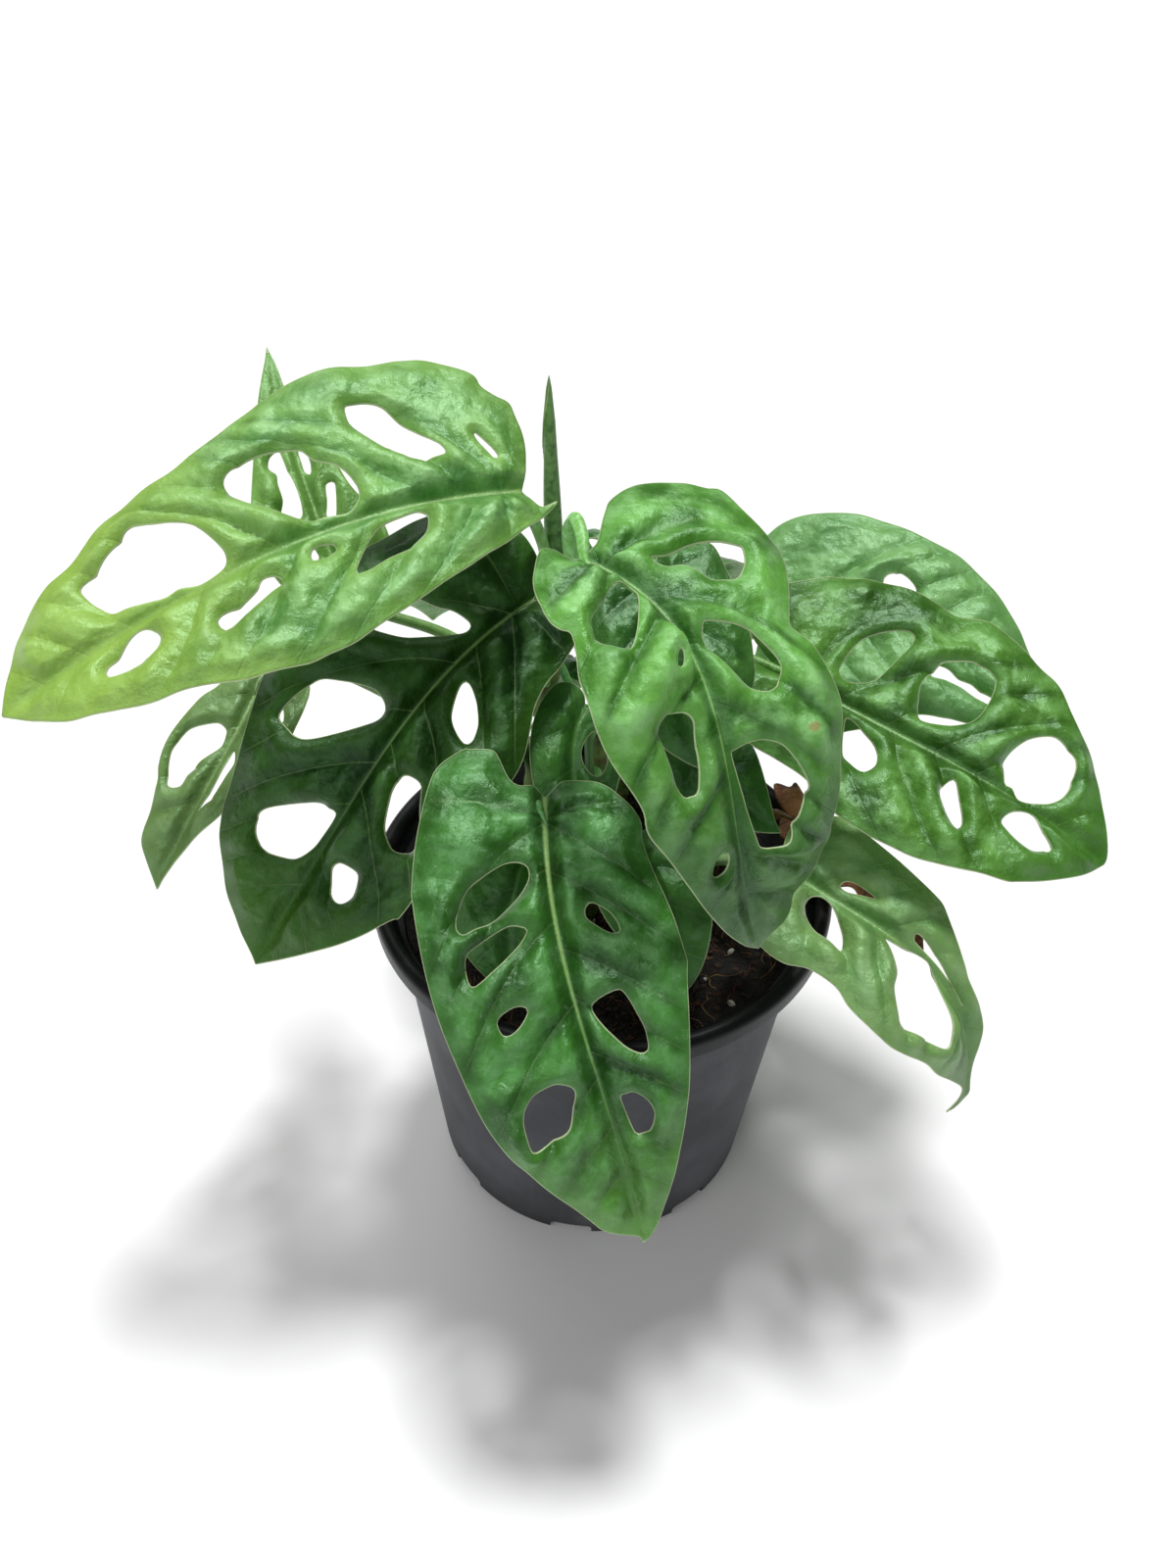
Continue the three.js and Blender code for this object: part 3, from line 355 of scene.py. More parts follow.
LEAF_SHAPES = {
    "broad": {
        "length": 151,
        "right": [(13, -4), (26, -4), (29, -3), (31, 0), (35, 3), (40, 5), (49, 19), (50, 24), (49, 42),
                  (48, 52), (47, 59), (38, 75), (36, 90), (33, 103), (27, 117), (25, 125), (22, 131),
                  (17, 138), (11, 143)],
        "left": [(-4, -2), (-6, -4), (-6, -8), (-19, 13), (-34, 52), (-36, 70), (-35, 78), (-33, 90),
                 (-28, 101), (-25, 112), (-19, 126), (-14, 136)],
        "holes": [
            [(11.5, 19), (12, 22.5), (13.5, 27), (23, 35.5), (28, 38.5), (34, 38), (35, 36), (35.5, 32.5),
             (32.5, 29), (20, 22.5), (15, 19.5)],
            [(4.5, 44.5), (2.5, 48), (3.5, 54), (5.5, 60), (14.5, 69), (19.5, 72), (23.5, 73), (26, 72.5),
             (28.5, 69.5), (29.5, 65.5), (28.5, 57), (26, 52.5), (20.5, 50.5), (17, 46.5), (13, 44),
             (8.5, 43)],
            [(3, 81.5), (1.5, 84.5), (1, 89.5), (2.5, 94.5), (2.5, 100), (6.5, 111.5), (10.5, 115),
             (15, 117), (19, 117), (20.5, 109.5), (25.5, 100), (24, 95), (19.5, 88), (16, 84),
             (6.5, 80.5)],
            [(18.5, 9), (13, 6), (10, 5), (9.5, 6.5), (16, 9)],
            [(-6, 29), (-10.5, 31), (-13.5, 36), (-18.5, 47.5), (-19, 51.5), (-18.5, 52.5), (-15.5, 52),
             (-11.5, 49), (-6.5, 43), (-4, 37), (-4, 31.5)],
            [(-7, 55), (-9, 55), (-11, 58), (-11, 61), (-9.5, 61.5), (-7, 60.5), (-6.5, 57.5)],
            [(-9.5, 71), (-12, 72), (-16.5, 87.5), (-14, 89.5), (-12.5, 88), (-11, 82.5), (-10.5, 77.5),
             (-8.5, 75)],
            [(-8.5, 104), (-11, 106), (-12, 110.5), (-12, 115), (-11, 119), (-8.5, 120.5), (-6, 118.5),
             (-3.5, 109.5), (-5, 105.5)],
        ],
    },
    "drooping": {
        "length": 137,
        "right": [(6, -7), (19, -9), (32, -2), (42, 14), (47, 36), (47, 55), (46, 65), (40, 82),
                  (35, 107), (25, 121), (18, 127), (12, 131), (5, 134)],
        "left": [(-7, -6), (-17, -4), (-22, 6), (-26, 21), (-37, 46), (-34, 93), (-32, 99), (-21, 115)],
        "holes": [
            [(8, 51.5), (6.5, 54.5), (8, 58), (16.5, 68), (21, 72), (25, 73), (29, 72.5), (32.5, 70.5),
             (30.5, 60), (28.5, 56.5), (23.5, 54), (16.5, 51), (12, 50)],
            [(2, 85.5), (2.5, 95), (6, 103), (15.5, 107), (18.5, 105), (21.5, 102), (23, 98.5), (20, 94),
             (9.5, 86), (5, 85)],
            [(-8.5, 95.5), (-12, 94.5), (-15.5, 95), (-17.5, 100.5), (-16, 104), (-13.5, 105), (-10, 104),
             (-7, 98.5)],
            [(-12.5, 63.5), (-16.5, 63), (-19, 65), (-24.5, 75), (-25.5, 80), (-23, 82.5), (-19.5, 83),
             (-14.5, 79), (-10.5, 68.5), (-10, 65.5)],
            [(-21, 46.5), (-17, 45.5), (-12.5, 42.5), (-8, 34.5), (-8, 32), (-10.5, 32.5), (-14.5, 35),
             (-19, 39.5), (-21.5, 44)],
            [(29.5, 37), (28, 29.5), (21.5, 24.5), (15.5, 22.5), (11.5, 20), (7.5, 19), (4.5, 19.5),
             (5, 23), (14.5, 33), (20.5, 36.5), (25.5, 38)],
        ],
    },
    "hanging": {
        "length": 128,
        "right": [(3, -3), (7, -3), (10, -5), (13, -11), (15, -13), (21, -13), (23, -13), (29, -8),
                  (32, 1), (36, 21), (36, 27), (35, 49), (33, 65), (30, 82), (24, 96), (13, 114),
                  (9, 120), (1, 125)],
        "left": [(-5, -4), (-12, -4), (-16, -3), (-20, 0), (-24, 5), (-26, 10), (-26, 17), (-30, 37),
                 (-31, 52), (-30, 57), (-22, 85), (-6, 120)],
        "holes": [
            [(5.5, 20), (5.5, 23), (8.5, 27), (12.5, 30), (17, 32.5), (21, 33.5), (24, 34.5), (25.5, 33),
             (25, 29.5), (21, 23.5), (12.5, 19), (8, 18.5)],
            [(8, 36), (10, 38.5), (13.5, 41), (18, 43.5), (24.5, 46), (24, 39), (13.5, 34.5), (9.5, 35)],
            [(20, 58.5), (20.5, 55.5), (19, 54), (15.5, 53), (13, 53.5), (12.5, 55), (15, 57.5), (18, 59)],
            [(21.5, 88), (21.5, 80.5), (20, 77), (17, 74.5), (13, 73.5), (10.5, 73.5), (7.5, 75.5),
             (7, 78.5), (10.5, 86), (14.5, 88), (18.5, 88.5)],
            [(-16, 41.5), (-13.5, 41), (-9, 36.5), (-8.5, 34), (-10, 32), (-12, 33), (-14.5, 35.5),
             (-16, 39)],
            [(-15, 72), (-13, 72.5), (-10, 70), (-7.5, 66), (-4, 59), (-6, 57), (-9.5, 56), (-12.5, 56),
             (-14, 59), (-15, 63.5), (-15.5, 67.5)],
            [(-6, 93.5), (-5, 91.5), (-4.5, 82.5), (-6.5, 81.5), (-8.5, 81.5), (-11, 84), (-12, 87),
             (-11, 90), (-9, 93)],
        ],
    },
    "arched": {
        "length": 131,
        "right": [(2, -3), (1, -6), (1, -9), (5, -10), (11, -8), (17, -5), (23, 1), (26, 8), (26, 14),
                  (25, 17), (26, 22), (31, 37), (32, 53), (30, 64), (25, 75), (25, 79), (24, 82),
                  (18, 92), (7, 118)],
        "left": [(-6, 1), (-17, -2), (-23, -3), (-33, 0), (-41, 5), (-43, 7), (-44, 10), (-46, 12),
                 (-43, 18), (-42, 25), (-41, 28), (-30, 40), (-30, 43), (-33, 48), (-34, 65), (-27, 94),
                 (-23, 106), (-20, 111), (-14, 116), (-12, 121), (-9, 125), (-4, 128)],
        "holes": [
            [(18, 35.5), (20, 34), (21, 29), (20, 23), (17.5, 18), (7.5, 13.5), (4.5, 14.5), (2.5, 17),
             (5, 21.5), (15, 34.5)],
            [(7.5, 42), (7.5, 44), (8.5, 46), (10, 46), (9.5, 44)],
            [(12, 75), (14.5, 73.5), (16, 59.5), (15, 56.5), (12, 55), (8.5, 55.5), (6.5, 58),
             (6.5, 61.5), (7, 66), (9.5, 74)],
            [(4, 92), (5, 95.5), (7, 96.5), (9, 96), (9.5, 94), (8.5, 91.5), (6, 90.5)],
            [(-30.5, 24), (-28, 26.5), (-23.5, 28.5), (-20, 28), (-16.5, 26.5), (-15.5, 22.5), (-14, 20),
             (-10.5, 18), (-9, 15.5), (-9.5, 14.5), (-13, 16.5), (-21, 18.5), (-30, 23)],
            [(-5.5, 36.5), (-7.5, 35), (-15.5, 39), (-18, 41.5), (-20.5, 48.5), (-20, 51.5), (-18, 54),
             (-14.5, 55), (-10, 53), (-6.5, 46.5), (-4.5, 39)],
            [(-12.5, 94.5), (-15.5, 90), (-20, 82.5), (-20.5, 80), (-19, 74), (-17, 69.5), (-15, 67.5),
             (-11, 66), (-7, 66), (-3.5, 67), (-2, 69), (-4.5, 90.5), (-5.5, 93), (-8, 94)],
        ],
    },
    "round": {
        "length": 111,
        "right": [(1.5, -7), (5, -15), (13, -17), (21, -12), (26, -2), (28, 7), (28, 15), (29, 26),
                  (35, 39), (35, 57), (33, 68), (27, 85), (24, 90), (14, 101), (7, 107)],
        "left": [(-2, -9), (-7, -18), (-16, -21), (-25, -18.5), (-33, -11), (-37, -6), (-41, 0), (-43, 6),
                 (-47, 27), (-46, 35), (-48, 43), (-48, 49), (-45, 61), (-43, 67), (-40, 74), (-34, 81),
                 (-26, 91), (-22, 95), (-5, 109)],
        "holes": [
            [(-31.5, 26), (-30, 28.5), (-25, 29), (-14.5, 26.5), (-10.5, 24), (-7, 19), (-8, 15.5),
             (-11, 14.5), (-21, 14.5), (-26, 18), (-30, 22.5)],
            [(-7, 43.5), (-11, 41), (-17.5, 38.5), (-26, 40), (-29.5, 43.5), (-32.5, 48.5), (-32, 54),
             (-30.5, 56.5), (-25.5, 58), (-17.5, 58), (-13.5, 56.5), (-10, 52.5), (-8, 48.5), (-7, 46)],
            [(-23.5, 84), (-21.5, 87.5), (-17.5, 89.5), (-13.5, 90.5), (-8.5, 90), (-4.5, 87.5),
             (-1.5, 83), (-0.5, 79.5), (-2.5, 76.5), (-2.5, 74), (-7.5, 71), (-12, 71), (-17, 73),
             (-21, 76), (-23.5, 79.5)],
            [(5, 26), (7.5, 35), (11, 39), (15.5, 40.5), (18.5, 39), (18.5, 36), (16.5, 31.5), (13, 29),
             (8, 26.5)],
            [(20, 67), (14, 60), (9.5, 59.5), (7, 61), (9, 63), (18, 69)],
            [(8.5, 94), (10.5, 92.5), (13.5, 89), (13.5, 84), (12.5, 80.5), (10.5, 78), (6.5, 79),
             (2.5, 83), (2, 86), (5, 89)],
        ],
    },
    "folded": {
        "length": 94,
        "right": [(4, -8), (14, -10), (23, -3), (27, 7), (27, 14), (24, 20), (24, 29), (26, 35), (27, 41),
                  (27, 47), (26, 55), (23, 62), (18, 70), (14, 78), (7, 86), (2.4, 91.5), (2.8, 95),
                  (5, 96.8)],
        "left": [(-5, -8), (-14, -10), (-23, -2), (-23, 9), (-18, 36), (-17, 40), (-12, 48), (-9, 54),
                 (-7, 59), (-6, 72), (-2.5, 82), (-1.2, 90), (-1.2, 95), (1, 98), (4.5, 98.8)],
        "tip": (8.5, 98),
        "holes": [
            [(-7, 23.5), (-6.5, 23.5), (-4, 16.5), (-4.5, 13.5), (-6.5, 14), (-7.5, 16.5)],
            [(4.5, 8.5), (1.5, 11), (2.5, 15), (5.5, 19), (9, 22.5), (12.5, 24.5), (14.5, 24), (13.5, 17),
             (11, 12.5), (7.5, 9)],
            [(10.5, 68), (14, 65), (19.5, 52.5), (18.5, 48), (14, 42.5), (8.5, 40), (2.5, 33), (1.5, 35),
             (-1, 44.5), (-0.5, 48.5), (4.5, 59.5), (7.5, 64.5)],
            [(-2, 62.5), (-3, 41.5), (-4, 39), (-5.5, 40), (-2.5, 54)],
        ],
    },
    "behind": {
        "length": 112,
        "right": [(5, -7), (15, -10), (26, -6), (33, 4), (37, 20), (38, 40), (35, 58), (29, 70), (28, 80),
                  (27, 90), (20, 101), (9, 108)],
        "left": [(-5, -4), (-14, -6), (-23, -4), (-30, 2), (-34, 11), (-35, 28), (-33, 38), (-30, 49),
                 (-26, 63), (-22, 73), (-17, 83), (-10, 94), (-3, 104)],
        "holes": [
            [(-13, 42), (-15, 44), (-15.5, 46.5), (-14, 50), (-11, 54.5), (-8, 53.5), (-6, 48.5),
             (-8, 43.5)],
            [(12.5, 69.5), (13, 75.4), (15, 80), (15, 86), (17, 93.5), (18.6, 93.5), (18.8, 88.9),
             (17, 81.9), (16.5, 76), (16, 70)],
            (6, 12, 18, 24, 8),
        ],
    },
    "narrow": {
        "length": 112,
        "right": [(7, -6), (13, 3), (17, 13), (21, 20), (23.5, 31), (25, 41), (24.5, 51), (23, 60), (20, 67),
                  (18, 79), (17, 90), (15, 96), (10, 102), (4, 108)],
        "left": [(-6, -7), (-15, -8), (-22, 0), (-25, 14), (-25, 32), (-22, 50), (-15, 64), (-13, 71),
                 (-8, 81), (-4, 92), (-2, 102)],
        "holes": [
            [(21, 51.5), (21, 44), (19, 37.5), (14, 32.5), (9, 29.5), (4.5, 31.5), (3, 37.5), (3.5, 41),
             (6, 46), (8.5, 52), (9.5, 58), (9.5, 64), (13, 66.5), (16.5, 65)],
            [(-4, 40), (-7.5, 44), (-9, 48), (-8.5, 55.5), (-5.5, 64), (-2.5, 71), (-2.5, 66), (-3.5, 58.5),
             (-4.5, 51.5), (-4, 45)],
            (-6, 12, -19, 22, 8),
        ],
    },
    "inner": {
        "length": 112,
        "right": [(5, -7), (15, -9), (23, -3), (27, 10), (28, 30), (26, 50), (22, 70), (14, 90), (6, 103)],
        "left": PLAIN_LEFT,
        "holes": [
            [(-11, 16), (-8, 21), (-5, 31.5), (-6.5, 40.5), (-11, 48), (-16, 50), (-20, 44), (-21, 35),
             (-17.5, 22)],
        ],
    },
    "opened": {
        "length": 112,
        "right": PLAIN_RIGHT,
        "left": [(-5, -7), (-15, -9), (-24, -3), (-31, 10), (-35, 30), (-34, 50), (-27, 70), (-16, 90),
                 (-6, 103)],
        "holes": [
            [(12, 11), (6, 10), (3.5, 16), (3, 26), (3.5, 32), (6, 34.5), (11, 31.5), (15, 25.5), (15, 18)],
        ],
    },
    "whole": {
        "length": 112,
        "right": PLAIN_RIGHT,
        "left": PLAIN_LEFT,
        "holes": [],
    },
    "leaning": {
        "length": 112,
        "right": [(5, -7), (14, -9), (22, -3), (25, 10), (26.5, 28), (27.5, 40), (25.5, 52), (22, 66),
                  (14, 88), (6, 103)],
        "left": [(-5, -9), (-13, -9), (-20, -6), (-23, 3), (-25, 16), (-27, 32), (-28, 48), (-27, 70),
                 (-22, 86), (-12, 100)],
        "holes": [],
    },
    "slender": {
        "length": 100,
        "right": [(5, -6), (13, -6), (20, 0), (22, 12), (19, 22), (15, 32), (13, 42), (9, 54), (5, 66),
                  (3, 78), (2, 89)],
        "left": [(-5, -6), (-13, -7), (-20, 1), (-24, 14), (-23, 26), (-21, 34), (-16, 49), (-12, 61),
                 (-9, 72), (-5, 84), (-2, 93)],
        "holes": [
            [(-9.5, 50.5), (-6, 52), (-5.5, 48.5), (-5, 42), (-4.5, 34.5), (-5.5, 25), (-12, 27),
             (-10.5, 31), (-10.5, 37), (-9.5, 42), (-11, 46.5)],
            [(1.2, 52), (3.5, 50), (4, 45.5), (3, 41), (1.2, 42.5), (1, 47)],
            [(7, 35), (10, 34), (6.5, 22), (3.5, 23), (5.5, 28.5)],
            (-5, 8, -13, 17, 5), (6, 7, 12, 13, 4),
        ],
    },
    "withered": {
        "length": 62,
        "right": [(4, 0), (12, 8), (9.5, 12.5), (16, 19), (12.5, 24), (18, 30.5), (12.5, 35), (15.5, 42),
                  (8.5, 45.5), (9.5, 51.5), (4, 56)],
        "left": [(-3.5, -8), (-9, -15), (-11, -10), (-14.5, -10.5), (-10, -1), (-9.5, 6), (-6, 13), (-8, 20),
                 (-5, 27), (-7, 37), (-4.5, 42), (-5.5, 50), (-3, 56)],
        "holes": [],
    },
}


# rib: four points that the rib passes through, from foot to tip.
# face: the way the blade looks at its foot and at its tip.
# fold: degrees that each half rises beside the rib. curl: degrees that it bends down again.
# stalk: points from the stem to the blade. wide: the blade's width against its length.
# What a leaf doesn't say is as in LEAF_HABIT.
LEAF_HABIT = {"fold": 10, "curl": 14, "ruffle": 0.6, "wide": 1}
LEAVES = {
    "leaf_upper_left": {
        "shape": "broad", "finish": "lime",
        "rib": [(-26, 20, 250), (-73, -2, 249), (-115, -22, 235), (-156, -39, 212)],
        "face": [(0.1, -0.45, 0.9), (-0.25, -0.45, 0.85)], "ruffle": 0.9,
        "stalk": [(-19, 25, 180), (-20.5, 28.5, 197), (-20.5, 34, 211), (-20.5, 35, 222), (-23, 28, 236),
                  (-27, 21, 247.5), (-33, 17, 249.6)],
    },
    "leaf_lower_left": {
        "shape": "drooping", "finish": "olive",
        "rib": [(-23, 18, 217), (-54, -7, 197), (-78, -30, 167), (-101, -50, 132)],
        "face": [(0.1, -0.5, 0.85), (-0.35, -0.5, 0.8)], "fold": 12, "curl": 16, "ruffle": 0.9,
        "stalk": [(-23, 16, 156), (-28, 11, 176), (-25, 15, 202), (-24, 16.5, 214), (-29, 13, 214.5)],
    },
    "leaf_front": {
        "shape": "hanging", "finish": "deep",
        "rib": [(-17, -37, 189), (-11, -73, 168), (1, -98, 141), (13, -115, 100)],
        "face": [(0, -0.6, 0.8), (0.05, -0.85, 0.5)], "fold": 12, "curl": 16, "ruffle": 0.8,
        "stalk": [(-5, -4, 128), (-20, -7, 156), (-23.5, -22, 177), (-20, -36, 187.5), (-16, -45, 185.6)],
    },
    "leaf_centre": {
        "shape": "arched", "finish": "bright",
        "rib": [(-9, -7, 245), (19, -33, 234), (30, -58, 208), (42, -62, 159)],
        "face": [(0.2, -0.3, 0.93), (0.35, -0.8, 0.5)], "curl": 18, "ruffle": 0.8,
        "stalk": [(-3, 5, 162), (-3, 12, 179), (-10, 21, 205), (-12.5, 19, 230), (-13, 13, 243),
                  (-11, 7, 249), (-9, -1, 248), (-8, -8, 244.6), (-3, -13, 243)],
    },
    "leaf_right": {
        "shape": "round", "finish": "fresh",
        "rib": [(54, 26, 189), (85, 4, 184), (115, -14, 177), (145, -28, 162)],
        "face": [(0, -0.5, 0.87), (0.3, -0.5, 0.8)], "curl": 12, "ruffle": 0.9,
        "stalk": [(23, 14, 142), (12, 14, 152), (9, 18, 164), (16, 30, 180), (34, 36, 189), (54, 26, 189),
                  (60, 21, 187.6)],
    },
    "leaf_low_right": {
        "shape": "folded", "finish": "tan",
        "rib": [(57, -25, 151), (80, -43, 148), (100, -56, 135), (110, -65, 103)],
        "face": [(0.1, -0.5, 0.87), (0.35, -0.7, 0.6)], "fold": 14, "curl": 16,
        "stalk": [(26, 6, 124), (38, -8, 140), (51, -20, 150), (57, -25, 150.4), (62, -29, 150)],
    },
    "leaf_right_behind": {
        "shape": "behind", "finish": "cool", "wide": 1.35,
        "rib": [(58, 77, 173), (86, 68, 183), (115, 56, 185), (145, 47, 176)],
        "face": [(0, -0.55, 0.83), (0.3, -0.5, 0.8)], "ruffle": 0.8,
        "stalk": [(11, 39, 152), (32, 60, 158), (50, 77, 169), (58, 77, 172.4), (65, 75, 175.6)],
    },
    "leaf_small_left": {
        "shape": "narrow", "finish": "dusty", "wide": 1.1,
        "rib": [(-110, 30, 178), (-118, 7, 166), (-127, -12, 153), (-136, -26, 137)],
        "face": [(0, -0.5, 0.87), (-0.3, -0.5, 0.8)], "fold": 12, "curl": 16,
        "stalk": [(-25, 11, 130), (-60, 38, 156), (-98, 42, 176), (-110, 31, 178), (-112, 24, 175.6)],
    },
    "leaf_upright_left": {
        "shape": "slender", "finish": "young",
        "rib": [(-86, 47, 205), (-96, 65, 221), (-106, 86, 236), (-117, 114, 253)],
        "face": [(0.2, -0.6, 0.8), (0.1, -0.6, 0.8)], "fold": 12, "ruffle": 0.5,
        "stalk": [(-21, 23, 172), (-48, 36, 190), (-76, 38, 200), (-86, 46, 204), (-89, 52, 209.4)],
    },
    "leaf_shaded_centre": {
        "shape": "inner", "finish": "shade", "wide": 1.08,
        "rib": [(-7, 1, 191), (-10, -10, 185), (-9, -22, 174), (-5, -32, 158)],
        "face": [(0.25, -0.6, 0.8), (0.1, -0.75, 0.65)],
        "stalk": [(-3, 3, 152), (-5, 0, 168), (-6, 3, 182), (-7, 3, 190), (-8, -2, 190)],
    },
    "leaf_shaded_front": {
        "shape": "whole", "finish": "shade", "wide": 1.25,
        "rib": [(8, -21, 156), (14, -34, 151), (20, -45, 142), (23, -54, 127)],
        "face": [(0, -0.5, 0.87), (0.15, -0.7, 0.7)],
        "stalk": [(-4, -6, 119), (0, -11, 136), (4, -15, 150), (7, -20, 155.4), (10, -25, 154.2)],
    },
    "leaf_shaded_left": {
        "shape": "whole", "finish": "shade", "wide": 1.5,
        "rib": [(-21, -17, 159), (-25, -30, 152), (-27, -41, 141), (-24, -51, 122)],
        "face": [(-0.1, -0.5, 0.87), (-0.1, -0.7, 0.7)],
        "stalk": [(-25, 9, 122), (-28, 0, 138), (-27, -9, 152), (-22, -16.5, 158.2), (-22, -21, 157.6)],
    },
    "leaf_shaded_right": {
        "shape": "opened", "finish": "shade",
        "rib": [(22, 34, 162), (32, 21, 155.5), (43.5, 7, 151), (56, -2, 147)],
        "face": [(0.1, -0.5, 0.87), (0.1, -0.7, 0.7)], "ruffle": 0.5,
        "stalk": [(26, 10, 128), (30, 26, 143), (26, 38, 157), (22, 35, 161.6), (25, 30, 160.4)],
    },
    "leaf_shaded_back": {
        "shape": "leaning", "finish": "shade", "wide": 1.45,
        "rib": [(13, 46, 215), (17, 25, 204), (21, 9, 191), (28, -2, 172)],
        "face": [(0.1, -0.6, 0.8), (0.2, -0.7, 0.7)],
        "stalk": [(10, 38, 148), (6.5, 36, 160), (7, 42, 188), (10, 50, 207), (12.5, 48.5, 214.2),
                  (14, 41, 212.6)],
    },
    "leaf_back_left": {
        "shape": "drooping", "finish": "deep",
        "rib": [(-24, 58, 190), (-40, 84, 182), (-56, 108, 166), (-70, 126, 140)],
        "face": [(0, 0.35, 0.9), (-0.3, 0.6, 0.7)], "fold": 12, "curl": 16, "ruffle": 0.8,
        "stalk": [(6, 35, 134), (-8, 40, 160), (-20, 50, 182), (-24, 57, 189), (-28, 64, 188.4)],
    },
    "leaf_back_right": {
        "shape": "round", "finish": "deep",
        "rib": [(8, 70, 194), (18, 96, 188), (28, 118, 172), (36, 134, 148)],
        "face": [(0.1, 0.35, 0.9), (0.2, 0.6, 0.7)], "fold": 12, "curl": 16, "ruffle": 0.8,
        "stalk": [(15, 43, 158), (14, 52, 178), (9, 64, 191), (8, 70, 193.4), (10, 77, 192.8)],
    },
    "leaf_back_low": {
        "shape": "hanging", "finish": "deep",
        "rib": [(-4, 62, 158), (-12, 84, 152), (-17, 99, 136), (-20, 106, 112)],
        "face": [(0, 0.5, 0.87), (-0.1, 0.9, 0.4)], "fold": 12, "curl": 16,
        "stalk": [(5, 34, 126), (-2, 44, 142), (-4, 57, 156), (-4.5, 63, 157.6), (-6, 69, 157)],
    },
    "dried_leaf": {
        "shape": "withered", "finish": "dried",
        "rib": [(63, 22, 131.5), (79, 3, 134), (92, -12, 130), (102, -26, 119)],
        "face": [(0.2, -0.3, 0.9), (0.4, -0.3, 0.85)], "fold": 22, "curl": 55, "ruffle": 3,
        "stalk": [(48, 26, 92), (48, 26, 104), (48, 26, 115), (51, 27, 122), (57, 26.5, 129.4),
                  (63, 22, 131.3), (67.5, 16.5, 132.4)],
    },
}


# ---------------------------------------------------------------- leaf making


BLADE = 0.62  # thickness between the veins
SLOPE_STEP = 0.5  # how far apart the bent blade is read to find the way it faces
RUFFLE_LENGTH = 38
RUFFLE_REACH = 40
CURL_REACH = 40
STALK_RADII = ((0, 2.6), (0.1, 2.4), (0.5, 2.0), (0.8, 1.9), (0.9, 1.7), (0.95, 0.9), (1, 0.2))
STALK_SPACING = 1.4
STALK_SIDES = 16
STALK_GROOVE = 0.28  # depth of the stalk's groove against its radius

EDGE_SPACING = 1.1
GRID_SPACING = 1.45
RIM_BAND = 0.75  # width of the even band of mesh along every edge
RIB_COLUMNS = (-1.7, -1.0, -0.5, 0.0, 0.5, 1.0, 1.7)
RIB_SPACING = 1.15
LOOP_PULL = 0.85  # below 1, a hole's rim runs straighter from point to point
LOOP_STEPS = 12
EGG_STEPS = 90
EGG_WAVES = ((2, 0.05), (3, 0.08), (4, 0.05), (5, 0.04))  # how often and how far an egg's rim swings out

VEIN_RISE = 0.6  # how steeply a side vein climbs from the rib
VEIN_SWEEP = 0.011  # how strongly it then curves forward
VEIN_SPACING = 13.5
FIRST_VEIN = -35
LEFT_VEINS = 40  # added to the numbers of the left half's veins, so that no two are alike
FAN_FOOT = 6.0  # below this height the veins fan out round the leaf's foot
FAN_SCALE = 14.0

PILLOW_HEIGHT = 3.3  # how far the blade swells between its veins
TROUGH_DEPTH = 0.85  # the sharper valley right at a vein
LIP_HEIGHT = 1.1  # how far it rises round a hole
NO_HOLE = 50  # stands for the way to the nearest hole on a leaf without holes
SHOULDER_HEIGHT = 0.9  # the swelling on either side of the rib
WAVE_HEIGHT = 2.2  # the broad unevenness of the whole blade
DIMPLE_HEIGHT = 0.9  # the finer unevenness
RIPPLE_HEIGHT = 1.2  # the waver of the margin
RIB_HEIGHT = 1.0  # the rib's ridge on the under side, at the foot
BEAD_HEIGHT = 0.28  # the bead in the rib's groove on the upper side


class Rib:
    """The smooth curve through a leaf's four rib points, read by distance from its foot."""

    def __init__(self, points):
        foot, second, third, tip = np.array(points, dtype=float)
        pull = (-5 * foot + 18 * second - 9 * third + 2 * tip) / 6
        push = (2 * foot - 9 * second + 18 * third - 5 * tip) / 6
        t = np.linspace(0, 1, 401)[:, None]
        s = 1 - t
        self.points = foot * s**3 + 3 * pull * t * s**2 + 3 * push * t**2 * s + tip * t**3
        slope = (pull - foot) * s**2 + 2 * (push - pull) * s * t + (tip - push) * t**2
        self.tangents = slope / np.linalg.norm(slope, axis=1)[:, None]
        self.marks = travel(self.points)
        self.length = self.marks[-1]


def unit(rows):
    return rows / np.linalg.norm(rows, axis=1)[:, None]


